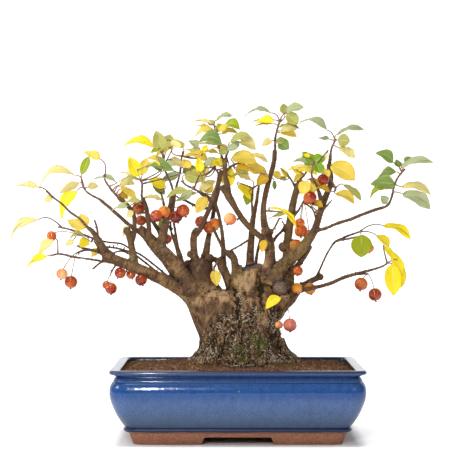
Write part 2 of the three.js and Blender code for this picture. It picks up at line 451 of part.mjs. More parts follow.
// A spray of leaves is [name, limb, stem, tint, leaves]. Its stem is the last, leafy part of a limb,
// from the limb's end on through [column, row, depth] points, or a short spur on the limb's side that
// ends at one [column, row, depth beyond the limb]. Each leaf is [base column, row, tip column, row,
// width, roll, arch, depth gained]: width in squares, roll in degrees from facing the front, arch as a
// share of the length. Each fruit of a bunch is [column, row, width, depth gained].
const SPRAYS = [
  ["far_left", "left_low", [[80, 219, -70], [70, 212, -75], [62, 204, -80], [54, 198, -84],
    [46, 191, -88]], "pale", [
    [38, 187, 15, 186, 10, 62, 0.05, -8], [52, 198, 44, 200, 8, 20, 0, 6],
    [85, 228, 67, 220, 11, 15, 0, 12], [87, 226, 80, 214, 10, 12, 0, 22]]],
  ["left_end", "left_long", [[93, 196, 40], [86, 191, 46], [82, 184, 50]], "yellow", [
    [76, 176, 39, 190, 13, 58, 0.32, -10], [77, 191, 62, 219, 13, 28, 0.14, -18],
    [79, 183, 60, 193, 9, 20, 0.05, 12], [88, 187, 99, 186, 8, 20, 0.1, 14],
      [82, 174, 89, 156, 10, 22, 0, 4]]],
  ["left_top", "low_fork_up", [[110, 188, -18], [105, 180, -10], [104, 175, -6]], "gold", [
    [100, 159, 84, 152, 9, 25, 0.1, 8], [116, 182, 91, 181, 9, 70, 0.18, 14],
    [121, 187, 136, 199, 9, 35, 0.05, -16], [120, 185, 135, 184, 9, 20, 0.2, 10]]],
  ["left_drop", "left_pair", [[82, 234, -30], [76, 231.5, -22], [66, 228.5, -12],
    [58, 227, -4]], "pale", [
    [38, 220, 9, 242, 12, 52, 0.22, 8], [84, 235, 70, 238, 9, 55, 0.2, -12],
    [73, 240, 66, 245, 7, 25, 0, -16], [88, 239, 80, 247, 10, 12, 0, -14]]],
  ["left_low_tip", "left_down", [[66, 255, -67], [58, 254, -69], [50, 256, -72]], "yellow", [
    [54, 240, 39, 258, 11, 40, 0.16, 12], [47, 256, 26, 266, 9, 45, 0.1, -8]]],
  ["left_low_back", "left_low_far", [98, 247, 12], "gold", [[99, 250, 91, 257, 9, 45, 0.1, 12]]],
  ["mid_left", "left_rise", [[142, 190, -44], [142, 184, -48], [140, 179, -52]], "yellow", [
    [139, 176, 129, 157, 13, 8, 0, -6], [142, 175, 147, 158, 10, 15, 0, 10],
    [176, 172, 137, 172, 13, 64, 0.17, -16], [138, 180, 119, 181, 9, 68, 0.14, 12],
    [134, 177, 119, 173, 8, 66, 0.1, 26], [144, 198, 163, 201, 9, 62, 0.1, 14]]],
  ["mid_left_under", "left_rise", [139, 201, -10], "light", [
    [141, 201, 124, 203, 9, 60, 0.08, -6], [128, 206, 112, 210, 8, 55, 0.1, 4],
    [133, 211, 127, 217, 7, 20, 0, 6]]],
  ["fork_dull", "low_fork", [130, 227, 4], "pale", [[131, 228, 123, 237, 8, 40, 0.2, 8]]],
  ["arm_yellow", "arm_middle", [[161.5, 195, 4], [160, 190, 6]], "yellow", [
    [165, 186, 149, 180, 12, 25, 0, -8], [153, 184, 165, 194, 10, 30, 0, 10]]],
  ["high_left", "arm", [[172, 187, -26], [168, 177, -20], [164, 168, -14], [163, 163, -12]], "light", [
    [162, 151, 156, 131, 14, 8, 0, -8], [166, 150, 170, 134, 14, 12, 0, 8],
    [154, 148, 124, 145, 13, 50, 0.18, -12], [169, 148, 155, 156, 10, 50, 0.06, 2],
    [163, 180, 181, 174, 9, 45, 0.08, 12], [168, 197, 188, 190, 10, 45, 0.12, -10],
    [171, 141, 181, 147, 8, 30, 0, -14], [161, 171, 148, 163, 7, 40, 0.08, -6],
    [164, 165, 158, 156, 7, 25, 0, -16], [158, 149, 151, 153, 6, 40, 0, -14]]],
  ["arm_small", "pair_left", [164, 216, -4], "green", [[167, 218, 160, 231, 11, 8, 0, -6]]],
  ["high_middle", "pair_right", [[176, 188, 48], [180, 173, 44], [181, 161, 40],
    [183, 151, 36]], "green", [
    [181, 161, 164, 167, 12, 40, 0.12, 8], [183, 173, 198, 168, 11, 40, 0.1, 12],
    [183, 148, 177, 140, 8, 30, 0, 8], [198, 147, 188, 141, 9, 35, 0.1, 14],
    [172, 150, 176, 138, 8, 40, 0, -6], [208, 160, 184, 154, 12, 45, 0.12, -6]]],
  ["broad_light", "stub_up", [[194, 189, 26], [187, 185.5, 36], [181, 181, 46]], "light", [
    [185, 175, 203, 180, 15, 8, 0.05, -12], [207, 163, 203, 187, 11, 40, 0.06, 14],
    [212, 192, 203, 183, 11, 12, 0, 8], [192, 190, 175, 200, 11, 45, -0.08, -10],
    [197, 193, 186, 199, 5, 60, 0.15, 10]]],
  ["gold_hang", "stub_side", [204, 203, -6], "gold", [[206, 197, 196, 213, 12, 15, 0, -8]]],
  ["mid_gold", "head_left_tip", [[217, 171, -16], [213.5, 166, -10]], "gold", [
    [224, 165, 213, 161, 10, 30, 0.08, -16], [222, 172, 224, 184, 7, 30, 0, 12],
    [218, 153, 200, 151, 9, 66, 0.06, 12],
    [204, 173, 199, 160, 7, 20, 0.05, -4], [205, 166, 217, 158, 9, 35, 0.1, -14]]],
  ["crown_dark", "crown_stem", [[227.5, 153, -43], [229, 148, -42]], "green", [
    [222, 144, 199, 142, 17, 38, 0.26, -14], [218, 145, 196, 144, 8, 66, 0.06, 6],
    [231, 142, 253, 138, 12, 42, 0.14, 2], [240, 142, 256, 149, 12, 30, 0.12, 12],
    [227, 149, 238, 147, 9, 35, 0, -10], [229, 167, 231, 186, 10, 18, 0, -12],
    [227, 150, 219, 154, 8, 30, 0, -8]]],
  ["crown_top", "crown_left", [[218, 144, -24], [216.5, 136, -18], [217, 131, -14]], "lime", [
    [224, 126, 240, 130, 14, 42, 0.28, -4], [217, 120, 233, 115, 9, 55, 0.12, 6],
    [214, 125, 208, 120, 8, 30, 0, 10], [214, 131, 196, 136, 11, 50, 0.2, -8],
    [212, 124, 191, 121, 8, 66, 0.1, 2], [222, 134, 239, 133, 9, 52, 0.16, 14],
    [207, 127, 195, 125, 6, 60, 0.08, 12], [217, 129, 222, 124, 7, 20, 0, -6]]],
  ["crown_broad", "crown_right", [[236, 164, -26], [243, 162, -14]], "yellow", [
    [232, 158, 257, 162, 15, 22, 0.1, 4], [249, 156, 269, 161, 10, 52, 0.1, 16],
    [236, 168, 249, 171, 13, 18, 0.05, 10], [248, 164, 268, 180, 12, 42, 0.12, 24]]],
  ["orange_leaf", "tall_left_b", null, "gold", [[268, 177, 257, 185, 11, 22, 0.08, -6]]],
  ["bright_leaf", "tall_left_a", null, "yellow", [
    [238, 185, 253, 201, 12, 34, 0.1, -10], [249, 192, 247, 205, 10, 20, 0, 10],
    [251, 180, 233, 174, 9, 50, 0.1, -10]]],
  ["strap", "right_main", [268, 211, -8], "yellow", [[270, 208, 298, 227, 9, 58, 0.16, -16]]],
  ["stem_orange", "right_main", [266, 250, -18], "gold", [[265, 240, 262, 252, 9, 30, 0, -4]]],
  ["trunk_gold", "cross_twig", [214, 269, -2], "gold", [[215, 270, 217, 286, 11, 20, 0, -2]]],
  ["trunk_yellow", "right_shoulder", [286, 297, -52], "yellow", [[280, 297, 266, 309, 10, 15, 0.1, -8]]],
  ["top", "right_main", [[275, 141, -2], [276.5, 132, -6], [278.5, 125, -10], [281, 119, -14]], "light", [
    [285, 114, 284, 103, 11, 20, 0, 8], [286, 113, 304, 107, 12, 40, 0.1, 0],
    [287, 114, 298, 124, 13, 15, 0, -8], [271, 113, 245, 116, 9, 66, 0.2, 10],
    [272, 141, 262, 146, 9, 40, 0.1, 12], [274, 120, 256, 122, 10, 40, 0.06, -8],
    [281, 133, 297, 136, 11, 40, 0.08, -4], [280, 127, 301, 128, 9, 62, 0.14, 10],
    [279, 142, 289, 149, 13, 12, 0, -6]]],
  ["right_top", "right_limb", [[332, 147, -6], [336, 139, 0]], "light", [
    [327, 130, 300, 122, 13, 56, 0.24, 10], [329, 139, 318, 138, 7, 55, 0, 16],
    [338, 134, 365, 129, 11, 58, 0.14, 6], [338, 140, 350, 141, 14, 12, 0, -8],
    [339, 148, 355, 158, 11, 35, 0.1, -4]]],
  ["right_gold", "right_limb", [334, 187, -4], "gold", [
    [331, 165, 355, 180, 18, 8, 0.08, 8], [336, 194, 355, 203, 12, 38, 0.14, -10],
    [344, 185, 361, 201, 10, 48, 0.1, 6],
    [330, 191, 316, 188, 8, 45, 0.1, -18], [329, 177, 320, 167, 9, 25, 0, 12]]],
  ["right_inner", "right_limb_back", [[314, 181, -68], [311.5, 174, -72], [313, 168, -74]], "green", [
    [314, 165, 303, 152, 15, 30, -0.06, 8], [317, 164, 320, 173, 12, 20, 0, -8],
    [315, 162, 325, 157, 12, 20, 0.1, 4], [307, 181, 302, 194, 13, 15, 0, -6],
    [308, 163, 293, 161, 7, 50, 0.12, -16], [310, 157, 301, 152, 6, 45, 0, 8],
    [313, 182, 312, 195, 9, 20, 0, 8]]],
  ["right_hang", "right_limb_hook", [317, 212, -4], "gold", [[312, 204, 323, 207, 9, 38, 0.15, -6]]],
  ["right_yellow", "right_mass", [[304, 175.5, 54], [307, 171, 58]], "yellow", [
    [298, 170, 318, 175, 10, 48, 0.14, -12], [308, 168, 287, 170, 9, 55, 0.08, 6],
    [303, 174, 293, 182, 8, 35, 0, 6]]],
  ["right_back", "right_mass_fork", null, "yellow", [
    [281, 169, 289, 177, 9, 48, -0.1, 6], [281, 177, 270, 172, 9, 35, 0, -6],
    [287, 179.5, 276, 178, 6, 45, 0, -8]]],
  ["right_end", "right_arm", [
    [389, 203.5, -62], [392, 196, -58], [394, 187, -54], [397, 179, -50], [401, 173.5, -46],
      [405, 169, -42]], "green", [
    [393, 162, 376, 153, 13, 30, 0.14, -8], [401, 168, 434, 162, 12, 52, 0.14, -10],
    [399, 167, 397, 159, 9, 30, 0, 8], [406, 163, 411, 157, 9, 25, 0, 10],
    [396, 172, 377, 178, 11, 48, 0.14, 14], [394, 184, 371, 184, 14, 22, 0.06, -4],
    [388, 189, 370, 197, 10, 55, 0.2, -10], [387, 203, 381, 196, 9, 20, 0, -6],
    [402, 187, 432, 195, 12, 45, 0.18, 8], [403, 194, 431, 208, 16, 30, 0.12, -12]]],
  ["whip", "right_whip", [[353, 234, 80], [362, 231, 84]], "lime", [
    [361, 235, 362, 257, 22, 6, 0, -8], [384, 226, 412, 239, 12, 42, 0.14, 6],
    [377, 236, 389, 247, 11, 35, 0.1, -8]]],
  ["low_end", "right_low", [[383, 266, -36], [389, 262, -37]], "yellow", [
    [392, 265, 394, 296, 19, 14, 0, -6], [385, 247, 402, 275, 12, 34, 0.06, 8],
    [398, 262, 403, 288, 14, 30, 0, 16]]],
];

const BUNCHES = [
  ["far_left_one", "left_pair", [92, 241, -8], [[51.5, 236, 10, 2]]],
  ["left_low_pair", "left_hook", null, [[62, 274, 11.5, -6], [71, 282, 13, 4]]],
  ["left_hanging", "left_under_spur", null, [[106.5, 285, 8.5, -4], [111, 288.5, 12, 2]]],
  ["left_under_row", "left_low", [127, 270, -2], [[120, 273, 11.5, -8], [131, 274.5, 9.5, 4],
    [141, 280, 12, 0]]],
  ["left_stem_pair", "left_rise", [142, 213, 4], [[138.5, 208.5, 13, -8], [141, 220.5, 11, 4]]],
  ["arm_cluster", "arm", [166, 214, -6], [[156.5, 216, 12.5, -14], [164, 212, 12.5, -16],
    [183, 211, 13.5, -6], [176, 217, 13, 6]]],
  ["arm_behind", "arm", [165, 234, 8], [[167, 239, 10, 14]]],
  ["middle_pair", "head_left_up", [205, 222, 6], [[201, 222, 12.5, 22], [209.5, 227.5, 13, -16],
    [215, 224, 12, 10]]],
  ["middle_one", "crossing", [238, 219, -12], [[230, 219, 12.5, -6]]],
  ["right_upper", "right_limb_hook", null, [[310, 198, 13.5, -6]]],
  ["right_high_pair", "right_limb", [327, 183, -8], [[323, 180, 12, -12], [318, 184, 8, -2]]],
  ["right_cluster", "right_mass_spur", null, [[300, 223, 10, -14], [301, 231, 13.5, -22],
    [309, 235, 11, 0]]],
  ["right_single", "right_mass", [293, 240, -8], [[296, 245.5, 13, -12]]],
  ["right_long", "right_limb_twin", [302, 263, -6], [[298, 271, 10, -4]]],
  ["right_low_pair", "right_shoulder", [301, 283, -14], [[297, 288.5, 11.5, -16], [310, 289, 12, -20]]],
  ["trunk_pair", "right_shoulder", [287, 306, -28], [[290, 325, 13.5, -8], [279, 325, 8, -26]]],
  ["right_end_pair", "right_low", [366, 274, -2], [[361, 284, 13.5, -6], [375, 294.5, 13.5, 2]]],
  ["whip_behind", "right_whip", [361, 236, 6], [[369, 248, 10.5, 14]]],
];

const TINTS = {
  green: 0x5f7f3c,
  light: 0x9aa55a,
  lime: 0xa8c020,
  yellow: 0xecd21c,
  gold: 0xd3a840,
  pale: 0xd8cf7a,
};

// Where a spray starts on the tree, which way it heads, and the spur that the tree grows for it.
function spurOf(limb, stem) {
  if (!stem || Array.isArray(stem[0])) {
    const curve = curves[limb];
    return { end: curve.getPoint(1), heading: curve.getTangent(1).normalize() };
  }
  const [column, row, beyond] = stem;
  const point = nearestOn(limb, column, row);
  const end = at(column, row, point.y + beyond);
  const heading = end.clone().sub(point).normalize();
  const twig = bend(new THREE.LineCurve3(point, end), () => SPUR_RADIUS, 3, 1);
  return { end, heading, twig: solidOf(twig) };
}

// The stem or bud that carries a spray, clear of the spur's end by the gap. heartOf gives the point
// inside it that a leaf or fruit springs from: the nearest in the front elevation.
function stemOf({ end, heading }, stem) {
  const start = end.clone().addScaledVector(heading, JOINT_GAP);
  const lead = start.clone().addScaledVector(heading, BUD_LENGTH);
  const leafy = stem && Array.isArray(stem[0]);
  const steps = leafy ? stem.length + 1 : 1;
  const curve = leafy
    ? curveThrough([start, lead, ...stem.map((place) => at(...place))])
    : new THREE.LineCurve3(start, lead);
  const radius = (t) => (leafy ? THREE.MathUtils.lerp(STEM_RADIUS, BUD_RADIUS, t) : BUD_RADIUS);
  const middles = curve.getPoints(steps);
  const middleLine = {
    getPoint(t) {
      const i = Math.min(Math.floor(t * steps), steps - 1);
      return middles[i].clone().lerp(middles[i + 1], t * steps - i);
    },
  };
  const heartOf = (column, row) => nearest(middleLine, column, row, leafy ? 0.2 : 0.5, 0.9);
  return { solid: solidOf(bend(curve, radius, 3, steps)), heartOf };
}

// A blade's sections: share of its length, of half its width, and the margin's lift as a share of
// the length.
const BLADE = [
  [0.3, 1, 0.06],
  [0.72, 0.78, -0.06],
];
const FOLD = 0.12; // the blade is folded up along its rib by this share of its width
const RIB_THICKNESS = 1.3;
const SECTION = 6; // corners of a leaf's section: rib, margin, margin, and the same on the underside

// A leaf in one body: stalk, blade with waved margins, and tip. Both faces are cut alike.
function leafSolid(heartOf, leaf, shift) {
  const [baseColumn, baseRow, tipColumn, tipRow, width, roll, arch, gained] = leaf;
  const heart = heartOf(baseColumn, baseRow);
  let base = at(baseColumn, baseRow, heart.y + gained * 0.5 + shift);
  if (base.distanceTo(heart) < SHORTEST_STALK) base = heart;
  const along = at(tipColumn, tipRow, heart.y + gained + shift).sub(base);
  const length = along.length();
  const ahead = along.clone().normalize();
  const front = new THREE.Vector3(0, -1, 0).addScaledVector(ahead, ahead.y).normalize();
  const up = ahead.clone().cross(front);
  if (up.z < 0) up.negate();
  const turn = THREE.MathUtils.degToRad(roll);
  const face = front.multiplyScalar(Math.cos(turn)).addScaledVector(up, Math.sin(turn));
  const across = ahead.clone().cross(face);
  const half = (width * MM_PER_SQUARE) / 2;

  const sections = [];
  const section = (middle, turned, reach, edge, rib, lift) => {
    const places = [
      [0, rib], [reach, edge + lift[0]], [reach, lift[0] - edge],
      [0, -rib], [-reach, lift[1] - edge], [-reach, edge + lift[1]],
    ];
    return places.map(([sideways, out]) => {
      const offset = across.clone().multiplyScalar(sideways).addScaledVector(face, out);
      return middle.clone().add(offset.applyQuaternion(turned));
    });
  };

  // The stalk is drawn from the blade back to the stem, and swings round to meet the rib.
  const reach = heart.distanceTo(base);
  const swing = new THREE.QuadraticBezierCurve3(
    heart,
    base.clone().addScaledVector(ahead, -reach / 2),
    base,
  );
  const bent = base.clone().sub(heart).angleTo(along) > SHARP_BEND || reach > LONG_STALK;
  const shares = reach === 0 ? [1] : bent ? [1, 0.5, 0] : [1, 0];
  let turned = new THREE.Quaternion();
  let facing = ahead;
  for (const share of shares) {
    const towards = share === 1 ? ahead : swing.getTangent(bent ? share : 0.5);
    turned = new THREE.Quaternion().setFromUnitVectors(facing, towards).multiply(turned);
    facing = towards;
    const middle = swing.getPoint(share);
    const r = PETIOLE_RADIUS;
    sections.unshift(section(middle, turned, r * 0.87, r / 2, r, [0, 0]));
  }

  const straight = new THREE.Quaternion();
  for (const [s, wide, wave] of BLADE) {
    const middle = base.clone().addScaledVector(along, s);
    middle.addScaledVector(up, 4 * s * (1 - s) * arch * length);
    const fold = FOLD * wide * half;
    const lift = [fold + wave * length, fold - wave * length];
    sections.push(
      section(middle, straight, wide * half, BLADE_THICKNESS / 2, RIB_THICKNESS / 2, lift),
    );
  }
  const tip = base.clone().add(along);
  sections.push(section(tip, straight, 0, BLADE_THICKNESS / 2, BLADE_THICKNESS / 2, [0, 0]));
  return loft(sections.flat());
}

// Joins sections of six corners; the diagonals on the underside mirror those on the upper face.
function loft(corners) {
  const faces = [[0, 2, 1], [0, 3, 2], [0, 4, 3], [0, 5, 4]];
  const last = corners.length - SECTION;
  for (let ring = 0; ring < last; ring += SECTION) {
    for (let k = 0; k < SECTION; k++) {
      const a = ring + k;
      const b = ring + ((k + 1) % SECTION);
      const c = a + SECTION;
      const d = b + SECTION;
      if (k === 2 || k === 3) faces.push([a, b, d], [a, d, c]);
      else faces.push([a, b, c], [b, d, c]);
    }
  }
  faces.push(...faces.slice(0, 4).map(([a, b, c]) => [last + a, last + c, last + b]));
  const geometry = new THREE.BufferGeometry().setFromPoints(corners);
  geometry.setIndex(faces.flat());
  const solid = solidOf(geometry);
  if (solid.volume() > 0) return solid;
  geometry.setIndex(faces.flatMap(([a, b, c]) => [a, c, b]));
  return solidOf(geometry);
}

// A fruit's sections, down to its dried calyx: place along its axis and radius, as shares of its
// greatest radius.
const FRUIT_PROFILE = [
  [-0.74, 0.68],
  [-0.1, 1],
  [0.6, 0.78],
  [1.12, 0.26],
];
const FRUIT_SIDES = 6;
const STALK_END = -0.92; // in the same share

// A fruit and its stalk in one body, the fruit hanging on from the stalk.
function fruitSolid(heartOf, [column, row, width, gained], shift) {
  const heart = heartOf(column, row);
  const size = (width * MM_PER_SQUARE) / 2;
  const middle = at(column, row, heart.y + gained + shift);
  const hang = middle.clone().sub(heart).normalize();
  hang.z -= 0.8;
  hang.normalize();
  const place = (share) => middle.clone().addScaledVector(hang, share * size);
  const top = place(STALK_END);
  const reach = heart.distanceTo(top);
  const stalk = reach > LONG_STALK ? [heart, heart.clone().lerp(top, 0.5), top] : [heart, top];
  if (reach > LONG_STALK) stalk[1].z += reach * 0.12;
  const line = new THREE.CurvePath();
  const stations = [...stalk, ...FRUIT_PROFILE.map(([share]) => place(share))];
  for (let i = 1; i < stations.length; i++) line.add(new THREE.LineCurve3(stations[i - 1], stations[i]));
  const radii = [...stalk.map(() => STALK_RADIUS), ...FRUIT_PROFILE.map(([, r]) => r * size)];
  const steps = stations.length - 1;
  const lengths = line.getCurveLengths();
  const share = (t) => {
    const i = Math.round(t * steps);
    return i === 0 ? 0 : lengths[i - 1] / lengths[steps - 1];
  };
  const path = { getPoint: (t) => line.getPoint(share(t)), getTangent: (t) => line.getTangent(share(t)) };
  return solidOf(bend(path, (t) => radii[Math.round(t * steps)], FRUIT_SIDES, steps));
}

// ---- the plant, grown in order: tree, fruit, leaves --------------------------------------------

const CLEAR = 0.3;
const SMOOTHING = 0.3; // mm that joining the limbs may move their skin by
const SHIFTS = [0, 6, -6, 12, -12, 18, -18, 26, -26, 34, -34, 44, -44];

const spurs = [...BUNCHES, ...SPRAYS].map(([name, limb, stem]) => [name, spurOf(limb, stem)]);
const spurNamed = Object.fromEntries(spurs);
const tree = union([
  trunkMass(0),
  ...Object.values(LIMBS).map(limbSolid),
  ...KNOTS.map(knotSolid),
  ...spurs.filter(([, spur]) => spur.twig).map(([, spur]) => spur.twig),
]).simplify(SMOOTHING);

const grown = [tree];

function isClear(solid) {
  const mine = solid.boundingBox();
  return grown.every((other) => {
    const its = other.boundingBox();
    const apart = [0, 1, 2].some(
      (axis) => mine.min[axis] > its.max[axis] + CLEAR || its.min[axis] > mine.max[axis] + CLEAR,
    );
    return apart || other.minGap(solid, CLEAR) >= CLEAR;
  });
}

// Fuses a stem with what it bears, each piece bent forward or back until it clears its neighbours.
function grow(name, stem, pieces, make) {
  const { solid, heartOf } = stemOf(spurNamed[name], stem);
  const borne = pieces.map((piece, number) => {
    const clear = SHIFTS.map((shift) => make(heartOf, piece, shift)).find(isClear);
    if (!clear) throw new Error(`${name} piece ${number} finds no clear place`);
    return clear;
  });
  const whole = union([solid, ...borne]).simplify(SMOOTHING / 3);
  grown.push(whole);
  return whole;
}

const bonsai = new THREE.Group();

function add(name, solid, color, roughness) {
  const material = new THREE.MeshStandardMaterial({ color, roughness, metalness: 0 });
  const mesh = new THREE.Mesh(geometryOf(solid), material);
  mesh.name = name;
  bonsai.add(mesh);
}

add("pot", potSolid(), 0x2f4f86, 0.15);
add("soil", soilSolid(trunkMass(GAP + 0.1)), 0x5b3d26, 0.95);
add("drain_mesh_left", drainMesh(-DRAIN_SPACING / 2), 0x1d1f1e, 0.7);
add("drain_mesh_right", drainMesh(DRAIN_SPACING / 2), 0x1d1f1e, 0.7);
add("tree", tree, 0x6a5038, 0.85);
for (const [name, , stem, fruits] of BUNCHES) {
  add(`fruit_${name}`, grow(name, stem, fruits, fruitSolid), 0xc24a26, 0.3);
}
for (const [name, , stem, tint, leaves] of SPRAYS) {
  add(`leaves_${name}`, grow(name, stem, leaves, leafSolid), TINTS[tint], 0.6);
}
bonsai.position.x = TREE_OFFSET;

export default bonsai;
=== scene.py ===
import math

import bmesh
import bpy
import numpy as np
from bpy.props import FloatProperty, FloatVectorProperty, IntProperty, PointerProperty
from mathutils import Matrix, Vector
from mathutils.kdtree import KDTree


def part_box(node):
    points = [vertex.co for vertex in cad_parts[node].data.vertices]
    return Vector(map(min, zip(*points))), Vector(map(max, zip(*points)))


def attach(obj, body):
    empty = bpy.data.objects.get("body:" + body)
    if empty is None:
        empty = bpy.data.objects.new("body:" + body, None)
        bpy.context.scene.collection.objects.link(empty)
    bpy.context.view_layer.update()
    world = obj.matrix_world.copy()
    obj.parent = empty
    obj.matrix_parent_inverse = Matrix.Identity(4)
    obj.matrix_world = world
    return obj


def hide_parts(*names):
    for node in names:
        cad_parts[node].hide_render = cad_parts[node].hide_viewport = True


bl_info = {
    "name": "Crabapple Bonsai",
    "version": (1, 0, 0),
    "blender": (4, 5, 0),
    "location": "View3D > Sidebar > Bonsai",
    "description": "A crabapple bonsai in autumn leaf and fruit, in an oblong glazed pot",
    "category": "Object",
}

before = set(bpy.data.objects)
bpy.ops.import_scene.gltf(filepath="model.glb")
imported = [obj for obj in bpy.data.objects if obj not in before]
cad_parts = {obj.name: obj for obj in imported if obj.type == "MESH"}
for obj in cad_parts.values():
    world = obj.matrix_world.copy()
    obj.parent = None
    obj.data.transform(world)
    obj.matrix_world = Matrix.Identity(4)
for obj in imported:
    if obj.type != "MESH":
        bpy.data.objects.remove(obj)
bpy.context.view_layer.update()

MM = 0.001  # tables are in millimetres, meshes in metres
SEED = 11

# The tree is laid out on a front elevation drawn in perspective: a grid of squares seen from an eye
# point in front of the pot's middle. A place is its column, its row and its depth in mm.
POT_LOW, POT_HIGH = (np.array(corner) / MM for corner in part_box("pot"))
MIDDLE = (POT_LOW + POT_HIGH) / 2
POT_LENGTH, POT_WIDTH, _ = POT_HIGH - POT_LOW
EYE_DISTANCE = 2645
EYE = np.array([MIDDLE[0] - 18.75, MIDDLE[1] - EYE_DISTANCE, POT_LOW[2] + 347])
GRID_SIZE = 452  # squares across and down
GRID_CENTRE = GRID_SIZE / 2
GRID_FOCUS = 1600  # squares from the eye to the grid
MM_PER_SQUARE = EYE_DISTANCE / GRID_FOCUS  # at the pot's middle

# ---- the tree's tables ----------------------------------------------------------------------

# The trunk's outline from the roots up: row, left column, right column, half its thickness in mm.
TRUNK = (
    (374, 198, 292, 46), (365, 189, 299, 70), (358, 189, 299, 72), (350, 197, 290, 62),
    (340, 198, 285, 57), (330, 195, 281, 55), (320, 191.5, 277, 54), (310, 188, 280, 54),
    (300, 185.5, 285, 48), (290, 197, 282, 36),
)

